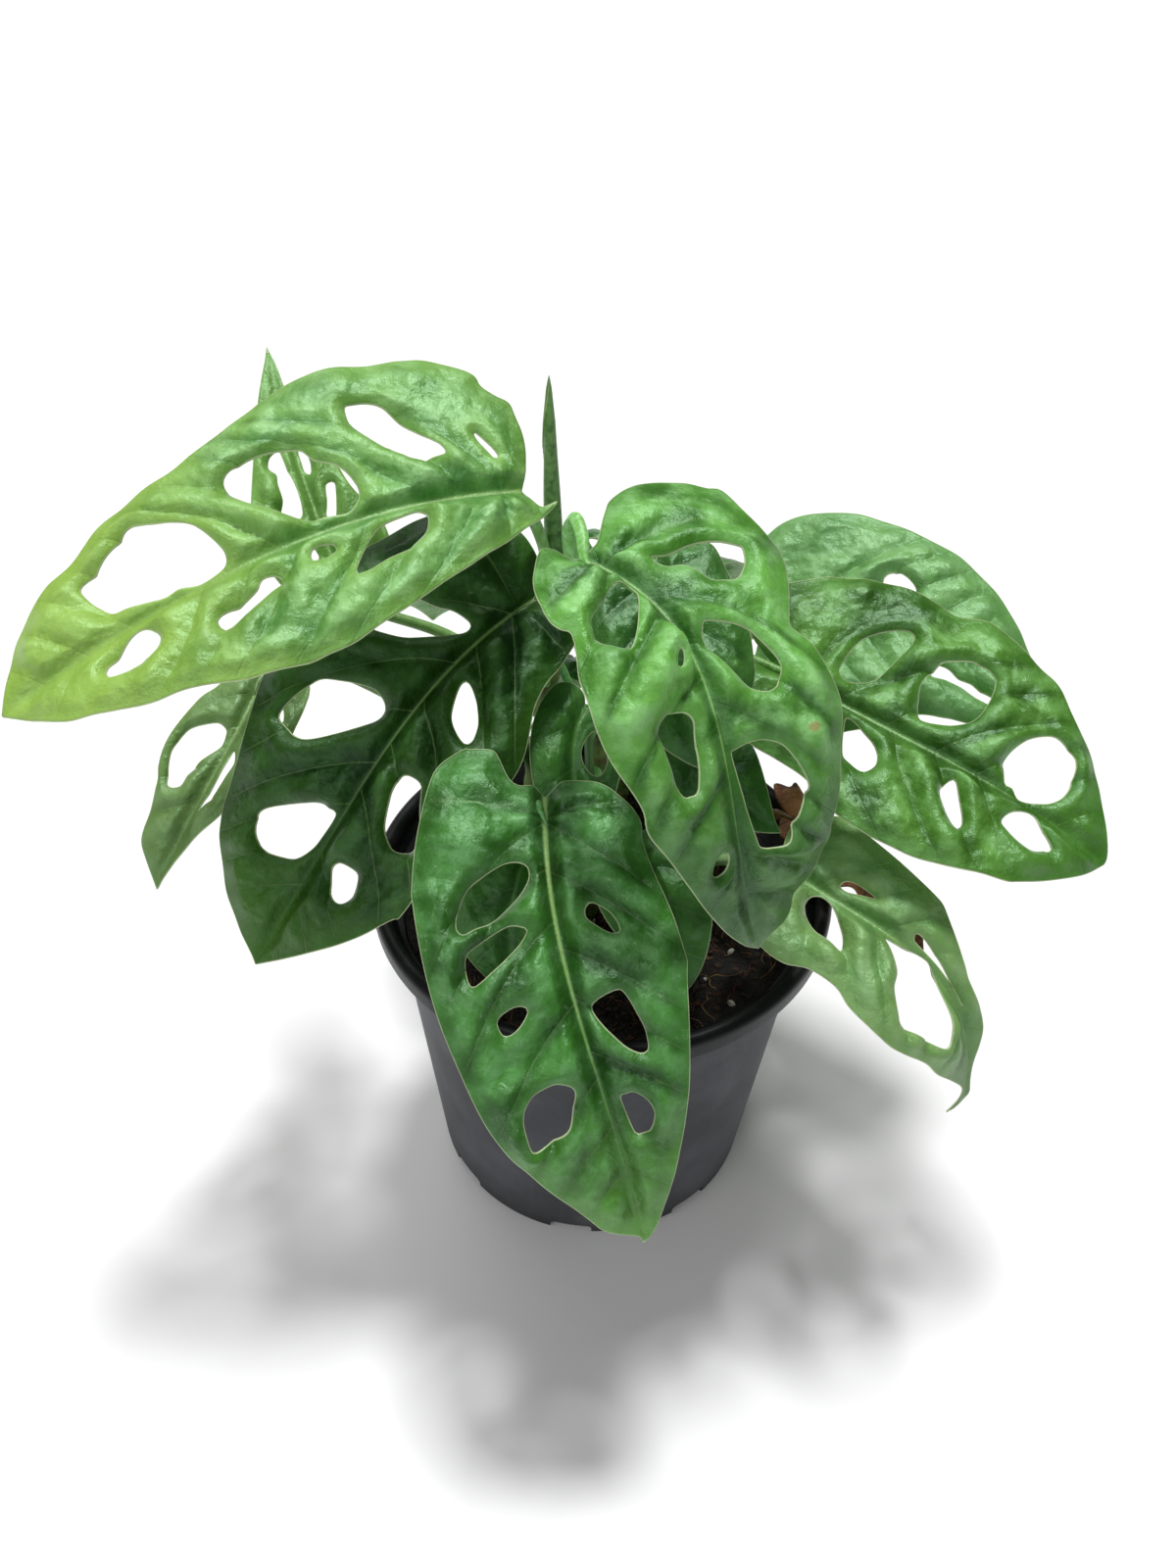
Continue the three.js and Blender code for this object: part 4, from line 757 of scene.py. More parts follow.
class Bend:
    """Bends a flat leaf, in real millimetres, over its rib."""

    def __init__(self, leaf):
        self.rib = Rib(leaf["rib"])
        self.fold = math.radians(leaf["fold"])
        self.curl = math.radians(leaf["curl"]) / CURL_REACH
        self.ruffle = leaf["ruffle"]
        self.faces = np.array(leaf["face"], dtype=float)

    def middle(self, flat):
        x, y = flat.T
        on_rib = np.clip(y, 0, self.rib.length)
        share = (on_rib / self.rib.length)[:, None]
        tangent = unit(read_along(self.rib.tangents, self.rib.marks, on_rib))
        point = read_along(self.rib.points, self.rib.marks, on_rib) + tangent * (y - on_rib)[:, None]
        face = self.faces[0] * (1 - share) + self.faces[1] * share
        across = unit(np.cross(tangent, face))
        normal = np.cross(across, tangent)
        reach = np.abs(x)
        out = (math.sin(self.fold) - np.sin(self.fold - self.curl * reach)) / self.curl
        rise = (np.cos(self.fold - self.curl * reach) - math.cos(self.fold)) / self.curl
        wave = np.sin(2 * math.pi * y / RUFFLE_LENGTH + np.sign(x)) * (reach / RUFFLE_REACH) ** 2
        return point + across * (out * np.sign(x))[:, None] + normal * (rise + self.ruffle * wave)[:, None]

    def surface(self, flat):
        """Points of the bent blade and the way each one faces."""
        across = self.middle(flat + (SLOPE_STEP, 0)) - self.middle(flat - (SLOPE_STEP, 0))
        along = self.middle(flat + (0, SLOPE_STEP)) - self.middle(flat - (0, SLOPE_STEP))
        return self.middle(flat), unit(np.cross(across, along))


def hole_loop(hole, stretch, spacing, draw):
    """The rim of a hole: a smooth loop through its points, or an uneven egg between its two ends."""
    if isinstance(hole, list):
        points = np.array(hole, dtype=float) * stretch
        return even_loop(closed_spline(points), spacing)
    inner, outer = np.array(hole[:2]) * stretch, np.array(hole[2:4]) * stretch
    middle, reach = (inner + outer) / 2, (outer - inner) / 2
    across = np.array((-reach[1], reach[0])) / np.linalg.norm(reach) * hole[4] * stretch[1] / 2
    turn = np.linspace(0, 2 * math.pi, EGG_STEPS, endpoint=False)
    uneven = sum(draw.uniform(-1, 1) * size * np.sin(n * turn + draw.uniform(0, 6.3))
                 for n, size in EGG_WAVES)
    forward = np.cos(turn) + 0.05 * np.cos(2 * turn)
    sideways = np.sin(turn) * (1 + 0.10 * np.cos(turn) - 0.12 * np.cos(2 * turn))
    loop = middle + np.outer(forward * (1 + uneven), reach) + np.outer(sideways * (1 + uneven), across)
    return even_loop(loop, spacing)


def closed_spline(points):
    """A smooth loop through the points."""
    rounds = np.vstack([points[-2:], points, points[:2]])
    t = np.linspace(0, 1, LOOP_STEPS, endpoint=False)[:, None]
    rows = []
    for i in range(1, len(points) + 1):
        a, b, c, d = rounds[i - 1:i + 3]
        rows.append(cubic(b, c, (c - a) / 2 * LOOP_PULL, (d - b) / 2 * LOOP_PULL, t))
    return np.vstack(rows)


def even_loop(loop, spacing):
    """The closed loop again, with points at even steps."""
    closed = np.vstack([loop, loop[:1]])
    marks = travel(closed)
    count = max(9, int(round(marks[-1] / spacing)))
    return read_along(closed, marks, np.linspace(0, marks[-1], count, endpoint=False))


def inside(points, loop):
    """Which points lie inside the closed loop."""
    x, y = points.T
    result = np.zeros(len(points), dtype=bool)
    for (ax, ay), (bx, by) in zip(loop, np.roll(loop, -1, axis=0)):
        if ay == by:
            continue
        spans = (ay > y) != (by > y)
        result ^= spans & (x < (bx - ax) * (y - ay) / (by - ay) + ax)
    return result


def distance(points, loop):
    """Each point's distance to the nearest point of the loop."""
    best = np.full(len(points), 1e9)
    for corner in loop:
        best = np.minimum(best, np.hypot(*(points - corner).T))
    return best


def inset(loop, amount, outwards):
    """The loop moved sideways by amount: inwards for a margin, outwards for a hole."""
    step = np.roll(loop, -1, axis=0) - np.roll(loop, 1, axis=0)
    side = np.stack([-step[:, 1], step[:, 0]], axis=1) / np.linalg.norm(step, axis=1)[:, None]
    area = np.sum(loop[:, 0] * np.roll(loop[:, 1], -1) - loop[:, 1] * np.roll(loop[:, 0], -1))
    sign = (1 if area > 0 else -1) * (-1 if outwards else 1)
    return loop + side * amount * sign


def fill_points(loops, length):
    """Points inside the blade: an even grid, and closer rows along the rib."""
    outline = loops[0]
    foot = outline[:, 1].min()
    rows = np.arange(foot, length, GRID_SPACING * 0.87)
    reach = np.abs(outline[:, 0]).max() + GRID_SPACING
    columns = np.arange(-reach, reach, GRID_SPACING)
    grid = np.array([(x + (k % 2) * GRID_SPACING / 2, y) for k, y in enumerate(rows) for x in columns])
    grid = grid[np.abs(grid[:, 0]) > RIB_COLUMNS[-1] + 0.6]
    beside = np.array([(x, y) for y in np.arange(foot, length, RIB_SPACING) for x in RIB_COLUMNS])
    fill = np.vstack([grid, beside])
    for k, loop in enumerate(loops):
        fill = fill[inside(fill, loop) == (k == 0)]
        fill = fill[distance(fill, loop) > RIM_BAND + 0.55]
    return fill


def band_points(loops):
    """Points of an even band along the margin and round each hole, where there is room for it."""
    kept = []
    for k, loop in enumerate(loops):
        band = inset(loop, RIM_BAND, k > 0)
        good = inside(band, loops[0])
        for hole in loops[1:]:
            good &= ~inside(band, hole)
        for other in loops:
            good &= distance(band, other) > RIM_BAND * 0.8
        kept.append(band[good])
    return kept


def split_flat(outline, holes, length):
    """Splits the flat blade into small triangles, all wound the same way."""
    loops = [outline, *holes]
    points = np.vstack([*loops, *band_points(loops), fill_points(loops, length)])
    edges = []
    start = 0
    for loop in loops:
        count = len(loop)
        edges += [(start + i, start + (i + 1) % count) for i in range(count)]
        start += count
    made = delaunay_2d_cdt([Vector(point) for point in points], edges, [], 1, 1e-7, False)
    flat = np.array([tuple(corner) for corner in made[0]])
    faces = np.array(made[2])
    centres = flat[faces].mean(axis=1)
    keep = inside(centres, outline)
    for hole in holes:
        keep &= ~inside(centres, hole)
    faces = faces[keep]
    corners = flat[faces]
    first, second = corners[:, 1] - corners[:, 0], corners[:, 2] - corners[:, 0]
    turned = first[:, 0] * second[:, 1] - first[:, 1] * second[:, 0] < 0
    faces[turned] = faces[turned][:, ::-1]
    used, faces = np.unique(faces, return_inverse=True)
    return flat[used], faces.reshape(-1, 3)


def rim_edges(faces):
    """The edges that only one triangle has, each in that triangle's direction."""
    pairs = np.vstack([faces[:, [0, 1]], faces[:, [1, 2]], faces[:, [2, 0]]])
    there = {(a, b) for a, b in pairs.tolist()}
    return [(a, b) for a, b in pairs.tolist() if (b, a) not in there]


def vein_mark(flat):
    """A height that stays the same along a side vein. It grows from the foot of the leaf to its tip."""
    x, y = np.abs(flat[:, 0]), flat[:, 1]
    mark = y - VEIN_RISE * x - VEIN_SWEEP * x**2
    foot = np.arctan2(1, VEIN_RISE + VEIN_SWEEP * x)
    fan = FAN_FOOT - (np.arctan2(x, y - FAN_FOOT) - foot) * FAN_SCALE
    return np.where(mark < FAN_FOOT, fan, mark)


def vein_marks(holes, sign, length):
    """Places for the veins of one half: between its holes, and at even steps elsewhere."""
    centres = sorted(float(vein_mark(loop.mean(axis=0)[None])[0]) for loop in holes
                     if loop[:, 0].mean() * sign > 0)
    if not centres:
        return np.arange(FIRST_VEIN, length, VEIN_SPACING)
    marks = [(a + b) / 2 for a, b in zip(centres, centres[1:])]
    marks = [min(centres) - VEIN_SPACING / 2, *marks, max(centres) + VEIN_SPACING / 2]
    while marks[0] > FIRST_VEIN:
        marks.insert(0, marks[0] - VEIN_SPACING)
    while marks[-1] < length:
        marks.append(marks[-1] + VEIN_SPACING)
    filled = [marks[0]]
    for mark in marks[1:]:
        parts = max(1, int(round((mark - filled[-1]) / (VEIN_SPACING * 1.15))))
        filled += list(np.linspace(filled[-1], mark, parts + 1)[1:])
    return np.array(filled)


def smooth_step(values, low, high):
    t = np.clip((values - low) / (high - low), 0, 1)
    return t * t * (3 - 2 * t)


def lumps(flat, size, seed):
    """Soft unevenness with bumps about the given size across."""
    return np.array([noise.noise((x / size, y / size, seed)) for x, y in flat])


def leaf_outline(shape, scale, stretch):
    """The margin of a flat leaf as a loop with even steps."""
    tip = shape.get("tip", (0, shape["length"]))
    right, left = [spline([(0, 0), *shape[side], tip], 1.0 / scale) for side in ("right", "left")]
    return even_loop(np.vstack([right, left[1:-1][::-1]]) * stretch, EDGE_SPACING)


def vein_fields(flat, holes, length):
    """A number for each point that is whole on a side vein, and the gap between the veins beside it."""
    phase, spread = np.zeros(len(flat)), np.zeros(len(flat))
    mark = vein_mark(flat)
    for sign in (-1, 1):
        half = flat[:, 0] * sign >= 0
        places = vein_marks(holes, sign, length)
        phase[half] = np.interp(mark[half], places, np.arange(len(places)))
        widths = np.append(np.diff(places), VEIN_SPACING)
        spread[half] = widths[np.clip(np.floor(phase[half]).astype(int), 0, len(widths) - 1)]
    return phase + np.where(flat[:, 0] < 0, LEFT_VEINS, 0), spread


def blade_height(flat, phase, spread, margin, hole_edge, along, scale, number):
    """Swellings between the veins, a lip round each hole and a soft unevenness."""
    reach = np.abs(flat[:, 0])
    off_vein = np.abs(phase - np.round(phase))
    uneven_size = np.array([0.6 + 0.8 * abs(noise.noise((p * 1.7, number * 2.3, 0.5)))
                            for p in np.floor(phase)])
    swell = np.clip(spread / 15, 0.4, 1.3) * uneven_size * (1 - 0.45 * along)
    swell *= np.clip(0.85 + 1.3 * lumps(flat, 26, number + 20), 0.2, 1.6)
    trough = TROUGH_DEPTH * np.exp(-((off_vein * spread / 1.7) ** 2))
    pillow = np.sin(off_vein * math.pi) * PILLOW_HEIGHT - trough
    pillow *= swell * smooth_step(reach, 0.3, 7) * (1 - 0.35 * smooth_step(reach, 12 * scale, 36 * scale))
    pillow *= smooth_step(margin, 0, 8)
    lip = np.exp(-((hole_edge - 2.4) / 2.8) ** 2) - 0.9 * np.exp(-(hole_edge / 1.1) ** 2)
    shoulder = np.exp(-((reach - 4.2) / 2.4) ** 2) - 0.6 * np.exp(-((reach / 1.6) ** 2))
    calm = smooth_step(reach, 0, 5)
    wave = WAVE_HEIGHT * lumps(flat, 18, number) + DIMPLE_HEIGHT * lumps(flat, 8, number + 50)
    wave = wave * smooth_step(margin, -5, 9)
    ripple = RIPPLE_HEIGHT * lumps(flat, 11, number + 90) * np.exp(-margin / 5)
    height = pillow + LIP_HEIGHT * lip * calm + SHOULDER_HEIGHT * shoulder * (1 - along)
    height = height + wave * calm + ripple
    return height * (0.4 + 0.6 * scale)


def blade_sides(middle, normal, height, reach, along, edge, scale):
    """Points of the upper and of the under side. The rib is a groove with a bead above, a ridge below."""
    ridge = RIB_HEIGHT * scale * (1 - 0.86 * along)
    bead = BEAD_HEIGHT * (1 - along) * np.exp(-(reach / (0.35 + 0.6 * (1 - along))) ** 2)
    top = height + BLADE / 2 + bead
    keel = ridge * np.exp(-(reach / (0.35 + 0.75 * (1 - along))) ** 2)
    thin = 1 - 0.45 * np.exp(-edge / 0.6)
    top = top - BLADE / 2 * (1 - thin)
    bottom = height - BLADE / 2 * thin - keel
    return middle + normal * top[:, None], middle + normal * bottom[:, None]


def blade_faces(faces, count):
    """Faces of the upper side, of the under side and of the wall between them along every edge."""
    upper = [(a, b, c) for a, b, c in faces.tolist()]
    under = [(c + count, b + count, a + count) for a, b, c in upper]
    wall = [(a + count, b + count, b, a) for a, b in rim_edges(faces)]
    return [*upper, *under, *wall]


def make_leaf(name, leaf, finishes, number):
    """One leaf: its blade, bent over its rib and cut through by its holes, and its stalk."""
    draw = random.Random(number * 37 + 5)
    leaf = {**LEAF_HABIT, **leaf}
    shape = LEAF_SHAPES[leaf["shape"]]
    bend = Bend(leaf)
    length = bend.rib.length
    scale = length / shape["length"]
    stretch = np.array((scale * leaf["wide"], scale))
    outline = leaf_outline(shape, scale, stretch)
    holes = [hole_loop(hole, stretch, EDGE_SPACING * 0.9, draw) for hole in shape["holes"]]
    flat, faces = split_flat(outline, holes, length)
    middle, normal = bend.surface(flat)
    phase, spread = vein_fields(flat, holes, length)
    margin = distance(flat, outline)
    hole_edge = np.min([distance(flat, hole) for hole in holes], axis=0) if holes else margin + NO_HOLE
    edge = np.minimum(margin, hole_edge)
    reach = np.abs(flat[:, 0])
    along = np.clip(flat[:, 1] / length, 0, 1)
    height = blade_height(flat, phase, spread, margin, hole_edge, along, scale, number)
    upper, under = blade_sides(middle, normal, height, reach, along, edge, scale)

    count = len(flat)
    blade = blade_faces(faces, count)
    stalk, stalk_faces = make_stalk(leaf, scale)
    corners = [*blade, *(tuple(i + 2 * count for i in face) for face in stalk_faces)]
    index = [0] * len(blade) + [1] * len(stalk_faces)
    fields = {
        "vein": np.tile(phase, 2),
        "spread": np.tile(spread, 2),
        "across": np.tile(flat[:, 0], 2),
        "along": np.tile(flat[:, 1] / length, 2),
        "edge": np.tile(np.minimum(edge, 8), 2),
        "under": np.repeat([0.0, 1.0], count),
    }
    attributes = {label: np.concatenate([field, np.zeros(len(stalk))]) for label, field in fields.items()}
    materials = [finishes[leaf["finish"]], finishes[leaf["finish"] + "_stalk"]]
    points = np.vstack([upper, under, stalk])
    add_piece(name, points, corners, materials, [name], attributes, index)


def make_stalk(leaf, scale):
    """The leaf stalk: a grooved tube with a thicker sheath at its foot and a knee below the blade."""
    path = spline(leaf["stalk"], STALK_SPACING)
    radii = taper(len(path), STALK_RADII) * (0.45 + 0.55 * scale)
    return sweep(path, radii, STALK_SIDES, STALK_GROOVE)


# ---------------------------------------------------------------- leaf finishes


def leaf_lines(f, off_vein, rib_width):
    """Where the lines of a leaf run: rib, troughs beside it, grooves over its veins and their threads.

    The troughs and grooves mark where painted shade goes.
    """
    along, edge = f.attribute("along"), f.attribute("edge")
    reach = f.attribute("across").size()
    centre = f.fall(reach / ((1 - along) * 0.85 + 0.15), 0.1, rib_width * 1.5)
    trough = f.fall(reach, 1.0, 5.5) * (1 - centre) * f.fall(along, 0.8, 1.0)
    groove = f.fall(off_vein, 0.2, 3.6) * f.fall(along, 0.7, 1.0) * f.rise(edge, 0.5, 4.0)
    groove = groove * f.rise(f.noise(55, 1), 0.3, 0.6)
    thread = f.fall(off_vein, 0.1, 0.4) * f.rise(edge, 0.8, 4.0) * f.fall(along, 0.6, 1.0)
    return centre, trough, groove, thread


def leaf_relief(f, off_vein, peel, patchy):
    """The fine relief of a leaf's skin, over a softer pucker that leaves the rib and the margin calm."""
    side = f.attribute("under") * 2 - 1
    relief = f.fall(off_vein, 0.0, 0.8) * side * 0.15 + peel * 0.9 + patchy * 1.2
    calm_edge = f.rise(f.attribute("edge"), 0.0, 6.0)
    pucker = f.noise(95, 2) * calm_edge * f.rise(f.attribute("across").size(), 0.5, 5.0)
    return f.bump(relief, 0.0005, 0.9, f.bump(pucker, 0.003, 1.0))


def leaf_finish(name, light, dark, painted_sheen, warm, tip, underside, veins=0.1, painted_crease_shade=0.5, rib=0.4,
                rib_width=0.6, tip_start=0.75, gloss=0.75, spots=0.0, dust=0.0):
    """Quilted leaf skin: warmer towards the margin, with a thin cream rim.

    The grooves over its veins and the troughs beside its rib are darkened as painted shade, and pale
    mint patches between the veins are painted sheen. veins, crease, rib, spots and dust say how
    strongly each of them shows.
    """
    f = Finish(name)
    along, edge, under = f.attribute("along"), f.attribute("edge"), f.attribute("under")
    vein = f.attribute("vein")
    share = (vein - vein.nearest()).size()
    off_vein = share * f.attribute("spread")
    broad, patchy, fine = f.noise(42, 2), f.noise(150, 3), f.noise(1100, 3)
    centre, trough, groove, thread = leaf_lines(f, off_vein, rib_width)
    rim = f.fall(edge, 0.1, 0.3)

    # Light and dark tones mottle at random. The share term also lightens the blade midway between the veins,
    # painted light on the swellings.
    skin = f.mix(f.rise(broad + patchy * 0.35 + share * 0.3, 0.48, 0.95), dark, light)
    # Painted sheen: pale mint patches on the swellings between the veins stand in for gloss catching the
    # light.
    skin = f.mix(f.rise(patchy + fine * 0.25 + share * 0.3, 0.62, 0.95) * 0.5, skin, painted_sheen)
    skin = f.mix(f.fall(edge, 1.0, 7.5) * 0.4, skin, warm)
    # Painted shade: the blade is darkened in the grooves over its veins and in the troughs beside the rib.
    skin = f.mix(groove * painted_crease_shade, skin, dark)
    skin = f.mix(trough * painted_crease_shade, skin, dark)
    # Towards the tip the blade takes its tip colour. On the bright finish that near-black colour is painted
    # shade on the leaf's steep lower part.
    skin = f.mix(f.rise(along + broad * 0.3, tip_start, tip_start + 0.45) * 0.7, skin, tip)
    skin = f.mix(thread * veins, skin, "#8fae66")
    skin = f.mix(centre * f.fall(along, 0.2, 0.85) * rib, skin, "#94b468")
    spot = f.rise(f.noise(75, 1), 0.79, 0.81) + f.rise(f.noise(410, 1), 0.83, 0.85)
    skin = f.mix(spot * spots, skin, "#a9794a")
    flecks = f.fall((f.noise(330, 2, distortion=2.0) - 0.5).size(), 0.0, 0.012)
    flecks = flecks * f.rise(f.noise(300, 1), 0.58, 0.66) * f.fall(along, 0.5, 0.9)
    skin = f.mix(flecks * dust, skin, "#b4cdae")
    pale = f.mix(f.rise(patchy, 0.35, 0.7), underside, light)
    pale = f.mix(thread * 0.5 + centre * 0.4, pale, "#a3b86c")
    skin = f.mix(under * 0.85, skin, pale)
    skin = f.mix(rim * 0.7, skin, "#ccd6ac")

    return f.surface(
        base_color=skin,
        roughness=patchy * 0.2 + fine * 0.1 + under * 0.12 + 0.22,
        normal=leaf_relief(f, off_vein, f.noise(480, 4, roughness=0.7), patchy),
        ior=1.5,
        specular_ior_level=gloss,
        specular_tint=(0.65, 1.0, 0.68, 1.0),
        subsurface_weight=0.08,
        subsurface_scale=0.002,
        subsurface_radius=(0.5, 1.0, 0.15),
    )


def stalk_finish(name, light, dark):
    """Smooth leaf stalk with fine streaks along it."""
    f = Finish(name)
    streak = f.noise(700, 3, f.stretched(0.12))
    skin = f.mix(f.rise(streak, 0.35, 0.7), dark, light)
    skin = f.mix(f.rise(f.noise(60, 3), 0.45, 0.7) * 0.5, skin, dark)
    return f.surface(base_color=skin, roughness=streak * 0.2 + 0.34, normal=f.bump(streak, 0.0002, 0.6))


def dried_finish(name):
    """Brown, papery, half-rolled leaf."""
    f = Finish(name)
    vein = f.attribute("vein")
    off_vein = (vein - vein.nearest()).size() * f.attribute("spread")
    blotch, grain = f.noise(110, 5), f.noise(900, 4)
    skin = f.mix(f.rise(blotch, 0.35, 0.7), "#6a3620", "#b87850")
    skin = f.mix(f.rise(grain, 0.5, 0.75) * 0.5, skin, "#cc9a70")
    skin = f.mix(f.fall(off_vein, 0.2, 1.0) * 0.5, skin, "#3a1c10")
    relief = f.fall(off_vein, 0.0, 1.2) * -0.6 + grain * 0.4 + f.cells(420, "DISTANCE_TO_EDGE") * 0.5
    return f.surface(base_color=skin, roughness=grain * 0.2 + 0.6, normal=f.bump(relief, 0.0006, 0.9))


def rolled_finish(name, light, dark):
    """New leaf, still rolled: smooth green with a pale edge along its wrap."""
    f = Finish(name)
    seam, along = f.attribute("seam"), f.attribute("along")
    streak = f.noise(500, 4)
    skin = f.mix(f.rise(streak + along * 0.2, 0.4, 0.75), dark, light)
    lines = f.rise(f.noise(260, 2), 0.55, 0.62) * 0.3
    skin = f.mix(lines, skin, light)
    skin = f.mix(f.fall(seam, 0.02, 0.07) * 0.8, skin, "#b9c77f")
    skin = f.mix(f.fall(along, 0.0, 0.12) * 0.5, skin, "#93a94e")
    return f.surface(base_color=skin, roughness=streak * 0.2 + 0.3, normal=f.bump(streak, 0.0003, 0.5))


def stem_finish(name):
    """Green stem with brown scars at its nodes."""
    f = Finish(name)
    node = f.attribute("node")
    patch, grain = f.noise(120, 4), f.noise(1100, 4)
    skin = f.mix(f.rise(patch, 0.35, 0.7), "#47642b", "#7f9a4b")
    skin = f.mix(f.rise(node + grain * 0.5, 0.55, 1.1) * 0.75, skin, "#6b5534")
    skin = f.mix(f.rise(grain, 0.6, 0.75) * 0.35, skin, "#a9ab7a")
    relief = grain + node * 0.5
    return f.surface(base_color=skin, roughness=grain * 0.25 + 0.42, normal=f.bump(relief, 0.0004, 0.7))


# Of each finish's colours, the pale mint one listed third is painted sheen.
LEAF_COLOURS = {
    "lime": {"light": "#7eb45c", "dark": "#427c34", "painted_sheen": "#a6d894", "warm": "#82ae48", "tip": "#a2c452",
             "underside": "#8fae5e", "painted_crease_shade": 0.45, "rib": 0.7, "tip_start": 0.5},
    "olive": {"light": "#284c10", "dark": "#082a04", "painted_sheen": "#44703a", "warm": "#2f5412", "tip": "#42701a",
              "underside": "#7c9a5c", "veins": 0.24, "painted_crease_shade": 0.3, "rib": 0.5, "gloss": 0.45},
    "deep": {"light": "#448430", "dark": "#143808", "painted_sheen": "#74aa70", "warm": "#34641e", "tip": "#649c38",
             "underside": "#7fa066", "veins": 0.12, "painted_crease_shade": 0.6, "rib": 0.85, "rib_width": 0.8,
             "gloss": 0.65, "dust": 0.5},
    # The bright finish's near-black tip colour is painted shade on the leaf's lower part.
    "bright": {"light": "#78bc54", "dark": "#1e5010", "painted_sheen": "#a8e09c", "warm": "#4a8a1c", "tip": "#042c02",
               "underside": "#86ab62", "veins": 0.08, "painted_crease_shade": 0.65, "rib": 0.5, "rib_width": 0.45,
               "gloss": 0.65, "tip_start": 0.5, "spots": 0.5},
    "fresh": {"light": "#5c9034", "dark": "#265008", "painted_sheen": "#84bc6c", "warm": "#40741e", "tip": "#3c7020",
              "underside": "#82a665", "veins": 0.08, "painted_crease_shade": 0.6, "rib": 0.5, "spots": 0.8},
    "cool": {"light": "#72a45c", "dark": "#467a34", "painted_sheen": "#90bc84", "warm": "#5e924c", "tip": "#5e924c",
             "underside": "#8aa57a"},
    "tan": {"light": "#7ea664", "dark": "#5c8848", "painted_sheen": "#88ac7a", "warm": "#6f8f4a", "tip": "#507038",
            "underside": "#8aa57a", "rib": 0.35, "spots": 0.3},
    "dusty": {"light": "#6c8c50", "dark": "#55703c", "painted_sheen": "#8aa878", "warm": "#6d8c48", "tip": "#5e8040",
              "underside": "#8aa57a", "painted_crease_shade": 0.4},
    "young": {"light": "#6c9c48", "dark": "#527a34", "painted_sheen": "#8cb66c", "warm": "#75a344", "tip": "#669a3e",
              "underside": "#8fae5e", "painted_crease_shade": 0.4},
    "shade": {"light": "#417829", "dark": "#1a4610", "painted_sheen": "#548840", "warm": "#3e6e28", "tip": "#346a26",
              "underside": "#6d8f58", "painted_crease_shade": 0.4, "rib": 0.15},
}

finishes = {}
for key, look in LEAF_COLOURS.items():
    finishes[key] = leaf_finish("leaf_" + key, **look)
    # The stalk's paler streaks take the colour of the leaf's painted sheen.
    finishes[key + "_stalk"] = stalk_finish("stalk_" + key, look["painted_sheen"], look["light"])
finishes["dried"] = dried_finish("dried_leaf")
finishes["dried_stalk"] = stalk_finish("stalk_dried", "#8a6238", "#563820")


for number, (name, leaf) in enumerate(LEAVES.items()):
    make_leaf(name, leaf, finishes, number)


# ---------------------------------------------------------------- new growth


SPEAR_AXIS = [(-16, 30, 191), (-16, 35.5, 204), (-17.8, 38, 219), (-19, 35.5, 252), (-19.4, 34, 277)]
SPEAR_RADII = ((0, 2.4), (0.35, 2.9), (0.6, 2.5), (0.85, 1.7), (0.96, 0.8), (1, 0.12))
SPEAR_COLOURS = ("#6a9650", "#38682c")
SPEAR_SPACING = 0.8
ROLL_SIDES = 48
ROLL_TURN = 5.2  # how far the wrap's edge winds round, in radians
ROLL_STEP = 0.26  # height of that edge against the radius


def make_spear(name):
    """The new leaf, rolled round itself, with its free edge winding up to the tip."""
    path = spline(SPEAR_AXIS, SPEAR_SPACING)
    points, faces = sweep(path, taper(len(path), SPEAR_RADII), ROLL_SIDES)
    rings = len(path)
    turn = 2 * math.pi * (np.arange(ROLL_SIDES) + 0.5) / ROLL_SIDES
    along = np.repeat(np.linspace(0, 1, rings), ROLL_SIDES)
    wrap = (np.tile(turn, rings) - ROLL_TURN * along**2 + 1.0) % (2 * math.pi) / (2 * math.pi)
    centre = np.repeat(path, ROLL_SIDES, axis=0)
    body = points[:-2]
    points[:-2] = centre + (body - centre) * (1 + ROLL_STEP * (wrap - 0.5))[:, None]
    attributes = {
        "seam": np.append(1 - wrap, (1, 1)),
        "along": np.append(along, (0, 1)),
    }
    add_piece(name, points, faces, rolled_finish(name, *SPEAR_COLOURS), [name], attributes)


make_spear("new_leaf_spear")


# ---------------------------------------------------------------- stems


STEMS = {
    "stem_left": [(-25, 8, 116), (-25, 11, 132), (-22, 19, 164), (-16, 30, 194)],
    "stem_centre": [(-4, -7, 116), (-5, -4, 130), (-3, 4, 156), (-2, 9, 176)],
    "stem_right": [(25, 4, 116), (24.5, 6, 126), (23, 13, 141), (24, 17, 149)],
    "stem_back": [(4, 33, 116), (6, 35, 132), (11, 39, 152), (15, 43, 160)],
}
STEM_RADIUS = 2.9
STEM_TAPER = ((0, 1.0), (0.7, 0.95), (0.97, 0.85), (1, 0.5))
STEM_SIDES = 24
STEM_SPACING = 0.9
ROOTED = (92, 104)  # heights of the two points of a stem inside the soil
NODE_SPACING = 13.0
NODE_SWELL = 0.13  # how far a node stands out, against the stem's radius
NODE_WAIST = 0.05  # how far the stem draws in beside it


def make_stem(name, axis, finish):
    """A stem that swells at its nodes, rooted straight down in the soil."""
    x, y, _ = axis[0]
    path = spline([*((x, y, height) for height in ROOTED), *axis], STEM_SPACING)
    marks = travel(path)
    off_node = np.abs(marks / NODE_SPACING - np.round(marks / NODE_SPACING)) * NODE_SPACING
    node = np.exp(-((off_node / 1.1) ** 2))
    radii = taper(len(path), STEM_TAPER) * STEM_RADIUS
    radii = radii * (1 + NODE_SWELL * node - NODE_WAIST * np.exp(-((off_node - 2.5) / 1.2) ** 2))
    points, faces = sweep(path, radii, STEM_SIDES)
    values = np.append(np.repeat(node, STEM_SIDES), (0, 0))
    add_piece(name, points, faces, finish, [name], {"node": values})


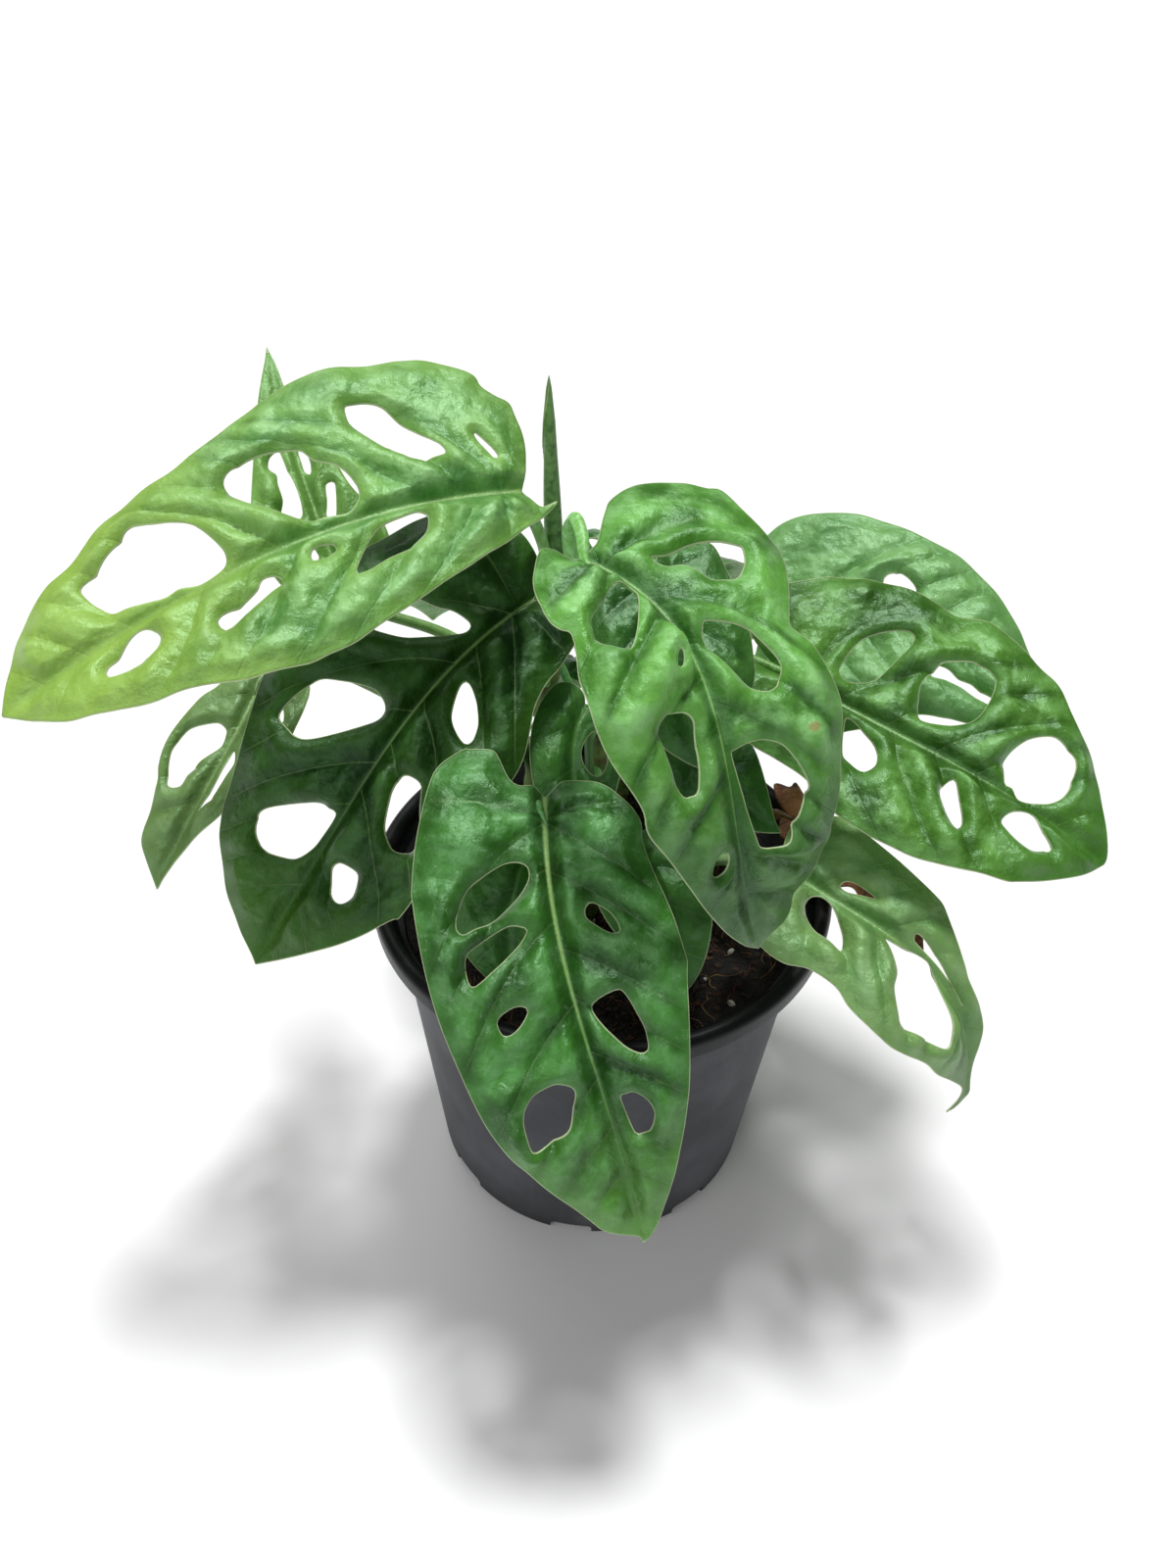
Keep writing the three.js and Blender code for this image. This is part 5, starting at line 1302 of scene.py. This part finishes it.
stem_skin = stem_finish("stem_skin")
for name, axis in STEMS.items():
    make_stem(name, axis, stem_skin)


# ---------------------------------------------------------------- pot


POT_HEIGHT = 128.0
RIM_RADIUS = 75.0
RIM_HEIGHT = 8.0
RIM_STEP = 7.0
RIM_WIDTH = 5.5
BASE_RADIUS = 58.0
BASE_ROUND = 3.0
WALL = 1.8
POT_SIDES = 168
SLOT_COUNT = 8
SLOT_WIDTH = 15.0
SLOT_HEIGHT = 6.0
SLOT_DEPTH = 9.0  # how far a slot's cutter reaches to either side of the wall
SLOT_ROUND = 2.0
SLOT_TURN = 0.85  # where the first slot is, in steps between slots
SHARP_ANGLE = 38  # degrees past which an edge of the pot isn't smoothed


def lathe(profile, sides):
    """Turns a profile of (radius, height) round the upright axis. It starts and ends on the axis."""
    inner = profile[1:-1]
    turn = 2 * np.pi * np.arange(sides) / sides
    rings = [np.stack([r * np.cos(turn), r * np.sin(turn), np.full(sides, z)], axis=1) for r, z in inner]
    points = np.vstack([*rings, [(0, 0, profile[0][1])], [(0, 0, profile[-1][1])]])
    return points, tube_faces(len(inner), sides)


def arc(centre, radius, start, end, steps):
    turns = np.radians(np.linspace(start, end, steps))
    return [(centre[0] + radius * math.cos(t), centre[1] + radius * math.sin(t)) for t in turns]


def pot_profile():
    """Up the outside of the pot, over its rim and down the inside, as (radius, height)."""
    wall_top = RIM_RADIUS - RIM_STEP
    rim_foot = POT_HEIGHT - RIM_HEIGHT
    profile = [(0, 0), (30, 0), *arc((BASE_RADIUS - BASE_ROUND, BASE_ROUND), BASE_ROUND, -90, 0, 7)]
    for share in np.linspace(0.03, 0.985, 28):
        z = BASE_ROUND + (rim_foot - BASE_ROUND) * share
        profile.append((BASE_RADIUS + (wall_top - BASE_RADIUS) * share, z))
    profile += [(wall_top + 0.1, rim_foot - 0.2), (wall_top + 0.5, rim_foot)]
    profile += arc((RIM_RADIUS - 1.1, rim_foot + 1.0), 1.0, -90, -5, 6)
    profile += [(RIM_RADIUS, rim_foot + 2.5), (RIM_RADIUS, rim_foot + 4)]
    profile += arc((RIM_RADIUS - RIM_WIDTH / 2, POT_HEIGHT - RIM_WIDTH / 2), RIM_WIDTH / 2, 0, 180, 19)
    profile += [(RIM_RADIUS - RIM_WIDTH, rim_foot + 3), (RIM_RADIUS - RIM_WIDTH - 0.2, rim_foot + 1.8)]
    profile += [(wall_top - WALL, rim_foot - 1.8), (BASE_RADIUS - WALL, BASE_ROUND + 1)]
    return [*profile, (BASE_RADIUS - BASE_ROUND - WALL, WALL), (0, WALL)]


def pot_finish():
    """Injection-moulded charcoal plastic, dusty and lightly scuffed, dark and glossier on its rim.

    The foot of the wall and the top of the rim carry painted shade.
    """
    f = Finish("pot_plastic")
    height = f.add("ShaderNodeSeparateXYZ", None, {"Vector": f.place()}, "Z")
    rim_foot = POT_HEIGHT - RIM_HEIGHT
    rim = f.rise(height, (rim_foot - 0.4) * MM, (rim_foot + 0.4) * MM)
    painted_rim_top_shade = f.rise(height, (rim_foot + 1) * MM, (POT_HEIGHT - 1) * MM)
    cloud, grain = f.noise(28, 4), f.noise(1500, 3)
    upright = f.noise(260, 3, f.stretched(0.06))
    scratch = f.noise(420, 2, f.stretched(6))
    specks = f.rise(f.noise(1900, 2), 0.72, 0.77) * f.rise(f.noise(80, 2), 0.45, 0.6)
    skin = f.mix(f.rise(cloud, 0.35, 0.7), "#404145", "#58595e")
    skin = f.mix(f.rise(upright, 0.5, 0.8) * 0.3, skin, "#595b60")
    skin = f.mix(f.rise(scratch, 0.66, 0.72) * 0.35, skin, "#57595e")
    skin = f.mix(specks * 0.5, skin, "#8d9096")
    # Painted shade: the lowest 12 mm of the wall is darkened where the pot stands on the floor.
    skin = f.mix(f.fall(height, 0.0, 0.012) * 0.6, skin, "#121215")
    # The rim is dark. Its top face is painted darker than its side, which is painted shade.
    skin = f.mix(rim * 0.95, skin, f.mix(painted_rim_top_shade, "#17191c", "#0a0b0d"))
    return f.surface(
        base_color=skin,
        roughness=0.44 + cloud * 0.12 + grain * 0.06 - rim * 0.14,
        specular_ior_level=0.2,
        normal=f.bump(grain * 0.5 + upright * 0.5 + cloud, 0.0003, 0.5),
    )


def cut_slots(pot):
    """Cuts the drain slots out of the foot of the wall, and returns the finished mesh."""
    points, faces = [], []
    for k in range(SLOT_COUNT):
        turn = 2 * math.pi * (k + SLOT_TURN) / SLOT_COUNT
        outline = [(-SLOT_WIDTH / 2, -SLOT_ROUND), (SLOT_WIDTH / 2, -SLOT_ROUND)]
        outline += arc((SLOT_WIDTH / 2 - SLOT_ROUND, SLOT_HEIGHT - SLOT_ROUND), SLOT_ROUND, 0, 90, 6)
        outline += arc((SLOT_ROUND - SLOT_WIDTH / 2, SLOT_HEIGHT - SLOT_ROUND), SLOT_ROUND, 90, 180, 6)
        start = len(points)
        for radius in (BASE_RADIUS - SLOT_DEPTH, BASE_RADIUS + SLOT_DEPTH):
            for side, z in outline:
                x = radius * math.cos(turn) - side * math.sin(turn)
                y = radius * math.sin(turn) + side * math.cos(turn)
                points.append((x, y, z))
        count = len(outline)
        faces.append([start + i for i in range(count)][::-1])
        faces.append([start + count + i for i in range(count)])
        for i in range(count):
            j = (i + 1) % count
            faces.append([start + i, start + j, start + count + j, start + count + i])
    cutter = new_object("slots", new_mesh("slots", points, faces))
    cut = pot.modifiers.new("slots", "BOOLEAN")
    cut.operation = "DIFFERENCE"
    cut.solver = "EXACT"
    cut.object = cutter
    made = evaluated_mesh(pot)
    pot.modifiers.clear()
    bpy.data.objects.remove(cutter)
    return made


def make_pot():
    shell = new_object("pot_shell", new_mesh("pot_shell", *lathe(pot_profile(), POT_SIDES)))
    made = cut_slots(shell)
    bpy.data.objects.remove(shell)
    made.shade_smooth()
    made.set_sharp_from_angle(angle=math.radians(SHARP_ANGLE))
    made.materials.clear()
    made.materials.append(pot_finish())
    settle(new_object("nursery_pot", made), ["pot"])


make_pot()


# ---------------------------------------------------------------- soil


SOIL_LEVEL = 113.0
SOIL_BUMP = 1.6
SOIL_RINGS = 84
SOIL_SIDES = 300
LITTER_RADIUS = 61.0  # fibres and grains start inside this circle
FIBRE_REACH = 63.0  # and no fibre reaches past this one
LITTER_LEVEL = SOIL_LEVEL - 3.5  # faces above this height carry them
FIBRE_LIFT = 0.6


def soil_height(x, y):
    """The packed soil's level, with crumbs of several sizes on it."""
    level = 0.6 * math.sin(x / 11 + 0.6) * math.cos(y / 13)
    level += 0.4 * math.sin((x + y) / 6) * math.cos((x - 2 * y) / 9)
    crumbs = 1.5 * noise.noise((x / 6, y / 6, 3.1)) + 1.3 * abs(noise.noise((x / 2.8, y / 2.8, 8.2)))
    return SOIL_LEVEL + SOIL_BUMP * level + crumbs + 0.6 * noise.noise((x / 1.3, y / 1.3, 5.5))


def soil_finish():
    """Very dark peat, damp in places."""
    f = Finish("peat")
    clump, grain = f.noise(160, 5), f.noise(1400, 5)
    skin = f.mix(f.rise(clump, 0.35, 0.7), "#090604", "#1c130d")
    skin = f.mix(f.rise(grain, 0.52, 0.72) * 0.6, skin, "#33231a")
    relief = grain + f.cells(700) * 0.8
    return f.surface(base_color=skin, roughness=0.95 - clump * 0.25, normal=f.bump(relief, 0.0012, 0.9))


def litter_finish(name, first, second):
    """Fibres, crumbs and grains that lie on the soil, uneven from one to the next."""
    f = Finish(name)
    patch, grain = f.noise(210, 2), f.noise(1500, 3)
    skin = f.mix(f.rise(patch, 0.4, 0.62), first, second)
    skin = f.mix(f.rise(grain, 0.5, 0.75) * 0.3, skin, first)
    return f.surface(base_color=skin, roughness=grain * 0.1 + 0.8, normal=f.bump(grain, 0.0003, 0.6))


def make_soil():
    """The block of soil, with a rough upper face of fine rings."""
    slope = (RIM_RADIUS - RIM_STEP - BASE_RADIUS) / (POT_HEIGHT - RIM_HEIGHT - BASE_ROUND)
    top_radius = BASE_RADIUS + slope * (SOIL_LEVEL - BASE_ROUND) - WALL - 0.5
    foot_radius = BASE_RADIUS - WALL - BASE_ROUND - 2
    profile = [(0, WALL + 0.3), (foot_radius, WALL + 0.3), (top_radius - 0.3, SOIL_LEVEL - 4)]
    profile.append((top_radius, SOIL_LEVEL))
    profile += [(top_radius * k / SOIL_RINGS, SOIL_LEVEL) for k in range(SOIL_RINGS - 1, 0, -1)]
    profile.append((0, SOIL_LEVEL))
    points, faces = lathe(profile, SOIL_SIDES)
    for point in points:
        if point[2] > SOIL_LEVEL - 1:
            point[2] = soil_height(point[0], point[1])
    return add_piece("potting_soil", points, faces, soil_finish(), ["soil"])


class Tree:
    """A Geometry Nodes tree built node by node, with named inputs."""

    def __init__(self, name):
        self.group = bpy.data.node_groups.new(name, "GeometryNodeTree")
        self.group.interface.new_socket("Surface", in_out="INPUT", socket_type="NodeSocketGeometry")
        self.group.interface.new_socket("Result", in_out="OUTPUT", socket_type="NodeSocketGeometry")
        self.source = self.group.nodes.new("NodeGroupInput")
        self.sink = self.group.nodes.new("NodeGroupOutput")
        self.values = {}

    def size(self, name, value):
        """A named input of the tree, and the value that the modifier gives it."""
        socket = self.group.interface.new_socket(name, in_out="INPUT", socket_type="NodeSocketFloat")
        self.values[socket.identifier] = value
        return self.source.outputs[name]

    def add(self, kind, settings=None, inputs=None, output=0):
        node = self.group.nodes.new(kind)
        for key, value in (settings or {}).items():
            setattr(node, key, value)
        for key, value in (inputs or {}).items():
            if isinstance(value, bpy.types.NodeSocket):
                self.group.links.new(value, node.inputs[key])
            else:
                node.inputs[key].default_value = value
        return node.outputs[output]

    def random(self, low, high, seed, kind="FLOAT"):
        first, second, out = {"FLOAT": (2, 3, 1), "FLOAT_VECTOR": (0, 1, 0)}[kind]
        return self.add("FunctionNodeRandomValue", {"data_type": kind},
                        {first: low, second: high, "Seed": seed}, out)

    def make(self, name, made, surface, material):
        """Ends the tree with what it has made, runs it on the surface and keeps the plain mesh."""
        whole = self.add("GeometryNodeRealizeInstances", None, {"Geometry": made})
        done = self.add("GeometryNodeSetMaterial", None, {"Geometry": whole, "Material": material})
        self.group.links.new(done, self.sink.inputs[0])
        carrier = new_object(name + "_carrier", surface.data)
        modifier = carrier.modifiers.new(name, "NODES")
        modifier.node_group = self.group
        for identifier, value in self.values.items():
            modifier[identifier] = value
        mesh = evaluated_mesh(carrier)
        carrier.modifiers.clear()
        bpy.data.objects.remove(carrier)
        mesh.shade_smooth()
        settle(new_object(name, mesh))


def level_only(tree, place):
    return tree.add("ShaderNodeVectorMath", {"operation": "MULTIPLY"}, {0: place, 1: (1, 1, 0)})


def litter_points(tree, density, seed):
    """Random points on the upper face of the soil."""
    place = tree.add("GeometryNodeInputPosition")
    height = tree.add("ShaderNodeSeparateXYZ", None, {0: place}, "Z")
    on_top = tree.add("FunctionNodeCompare", {"data_type": "FLOAT", "operation": "GREATER_THAN"},
                      {0: height, 1: LITTER_LEVEL * MM})
    reach = tree.add("ShaderNodeVectorMath", {"operation": "LENGTH"}, {0: level_only(tree, place)}, "Value")
    clear = tree.add("FunctionNodeCompare", {"data_type": "FLOAT", "operation": "LESS_THAN"},
                     {0: reach, 1: LITTER_RADIUS * MM})
    on_top = tree.add("FunctionNodeBooleanMath", {"operation": "AND"}, {0: on_top, 1: clear})
    return tree.add("GeometryNodeDistributePointsOnFaces", None,
                    {"Mesh": tree.source.outputs["Surface"], "Selection": on_top, "Density": density,
                     "Seed": seed})


def wander(tree, shape, amount, scale, seed):
    """Pushes every point of the shape about by a noise, so that no two copies are alike."""
    push = tree.add("ShaderNodeTexNoise", {"noise_dimensions": "4D"},
                    {"Scale": scale, "W": seed, "Detail": 1.0}, "Color")
    centred = tree.add("ShaderNodeVectorMath", {"operation": "SUBTRACT"}, {0: push, 1: (0.5, 0.5, 0.5)})
    sized = tree.add("ShaderNodeVectorMath", {"operation": "SCALE"}, {0: centred, "Scale": amount})
    return tree.add("GeometryNodeSetPosition", None, {"Geometry": shape, "Offset": sized})


def keep_inside(tree, shape):
    """Draws every point that reaches past the soil back to the pot's wall."""
    place = tree.add("GeometryNodeInputPosition")
    reach = tree.add("ShaderNodeVectorMath", {"operation": "LENGTH"}, {0: level_only(tree, place)}, "Value")
    share = tree.add("ShaderNodeMath", {"operation": "DIVIDE", "use_clamp": True},
                     {0: FIBRE_REACH * MM, 1: reach})
    factor = tree.add("ShaderNodeCombineXYZ", None, {0: share, 1: share, 2: 1.0})
    drawn = tree.add("ShaderNodeVectorMath", {"operation": "MULTIPLY"}, {0: place, 1: factor})
    return tree.add("GeometryNodeSetPosition", None, {"Geometry": shape, "Position": drawn})


def make_fibres(surface, name, material, seed, density, length, thickness):
    """Curly coir fibres that lie on the soil."""
    tree = Tree(name)
    points = litter_points(tree, tree.size("Fibres per square metre", density), seed)
    reach = tree.size("Fibre length", length * MM)
    end = tree.add("ShaderNodeCombineXYZ", None, {0: reach})
    line = tree.add("GeometryNodeCurvePrimitiveLine", None, {"End": end})
    fine = tree.add("GeometryNodeResampleCurve", None, {"Curve": line, "Count": 14})
    turn = tree.random((-0.25, -0.35, 0.0), (0.25, 0.35, 6.28), seed + 1, "FLOAT_VECTOR")
    size = tree.random(0.35, 1.3, seed + 2)
    laid = tree.add("GeometryNodeInstanceOnPoints", None,
                    {"Points": points, "Instance": fine, "Rotation": turn, "Scale": size})
    loose = tree.add("GeometryNodeRealizeInstances", None, {"Geometry": laid})
    bent = wander(tree, loose, tree.size("Curl", 0.011), 150.0, seed * 0.7)
    kept = keep_inside(tree, bent)
    lifted = tree.add("GeometryNodeSetPosition", None, {"Geometry": kept, "Offset": (0, 0, FIBRE_LIFT * MM)})
    ring = tree.add("GeometryNodeCurvePrimitiveCircle", None,
                    {"Resolution": 4, "Radius": tree.size("Fibre radius", thickness * MM)})
    made = tree.add("GeometryNodeCurveToMesh", None,
                    {"Curve": lifted, "Profile Curve": ring, "Fill Caps": True})
    tree.make(name, made, surface, material)


def make_grains(surface, name, material, seed, density, sizes, rough, splits):
    """Lumps that lie half in the soil."""
    tree = Tree(name)
    points = litter_points(tree, tree.size("Grains per square metre", density), seed)
    lump = tree.add("GeometryNodeMeshIcoSphere", None, {"Radius": 1.0, "Subdivisions": splits})
    turn = tree.random((0.0, 0.0, 0.0), (6.28, 6.28, 6.28), seed + 1, "FLOAT_VECTOR")
    low = (sizes[0] * MM, sizes[0] * MM, sizes[0] * MM * 0.7)
    high = (sizes[1] * MM, sizes[1] * MM * 0.8, sizes[1] * MM * 0.7)
    size = tree.random(low, high, seed + 2, "FLOAT_VECTOR")
    laid = tree.add("GeometryNodeInstanceOnPoints", None,
                    {"Points": points, "Instance": lump, "Rotation": turn, "Scale": size})
    loose = tree.add("GeometryNodeRealizeInstances", None, {"Geometry": laid})
    made = wander(tree, loose, tree.size("Roughness", rough * MM), 420.0, seed * 0.7)
    tree.make(name, made, surface, material)


soil = make_soil()
for name, first, second, seed, density, length, thickness in (
    ("coir_light", "#6a4a2c", "#a88452", 11, 17000, 17.0, 0.13),
    ("coir_red", "#3a1f12", "#6e4026", 23, 24000, 13.0, 0.15),
):
    make_fibres(soil, name, litter_finish(name, first, second), seed, density, length, thickness)
for name, first, second, seed, density, sizes, rough, splits in (
    ("soil_crumbs", "#170e0a", "#3b271a", 31, 70000, (0.5, 1.9), 0.9, 2),
    ("perlite", "#b9b5aa", "#e6e3da", 47, 2600, (0.7, 1.7), 0.8, 3),
):
    make_grains(soil, name, litter_finish(name, first, second), seed, density, sizes, rough, splits)


# ---------------------------------------------------------------- floor, light and camera


FLOOR_SIDE = 12000
SKY_STRENGTH = 0.12
SUNS = {
    "window_light": {"elevation": 76, "azimuth": 10, "spread": 10, "strength": 2.6},
    "sky_light": {"elevation": 50, "azimuth": -30, "spread": 40, "strength": 0.7},
    "front_light": {"elevation": 42, "azimuth": -150, "spread": 50, "strength": 0.9},
}


def make_floor():
    """A plain pale floor, far wider than the plant."""
    f = Finish("floor_paint")
    skin = f.mix(f.rise(f.noise(0.8, 2), 0.3, 0.7) * 0.5, "#f4f4f4", "#f0f0f1")
    material = f.surface(base_color=skin, roughness=0.6)
    half = FLOOR_SIDE / 2
    mesh = new_mesh("floor", [(-half, -half, 0), (half, -half, 0), (half, half, 0), (-half, half, 0)],
                    [(0, 1, 2, 3)])
    mesh.materials.append(material)
    new_object("floor", mesh)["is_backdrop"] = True


def add_sun(name, elevation, azimuth, spread, strength):
    """A wide soft light, in degrees above the floor and degrees clockwise from straight behind."""
    data = bpy.data.lights.new(name, "SUN")
    data.angle = math.radians(spread)
    data.energy = strength
    up, turn = math.radians(elevation), math.radians(azimuth)
    towards = Vector((math.sin(turn) * math.cos(up), math.cos(turn) * math.cos(up), math.sin(up)))
    new_object(name, data).rotation_euler = towards.to_track_quat("Z", "Y").to_euler()


def make_world():
    world = bpy.data.worlds.new("studio")
    world.use_nodes = True
    background = world.node_tree.nodes["Background"]
    background.inputs["Color"].default_value = (1, 1, 1, 1)
    background.inputs["Strength"].default_value = SKY_STRENGTH
    bpy.context.scene.world = world


make_floor()
make_world()
for name, sun in SUNS.items():
    add_sun(name, **sun)
bpy.context.scene.view_settings.view_transform = "Standard"
make_camera()

sizes = {
    "cad": [list(corner) for corner in cad_box],
    "visual": [list(corner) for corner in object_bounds()],
}
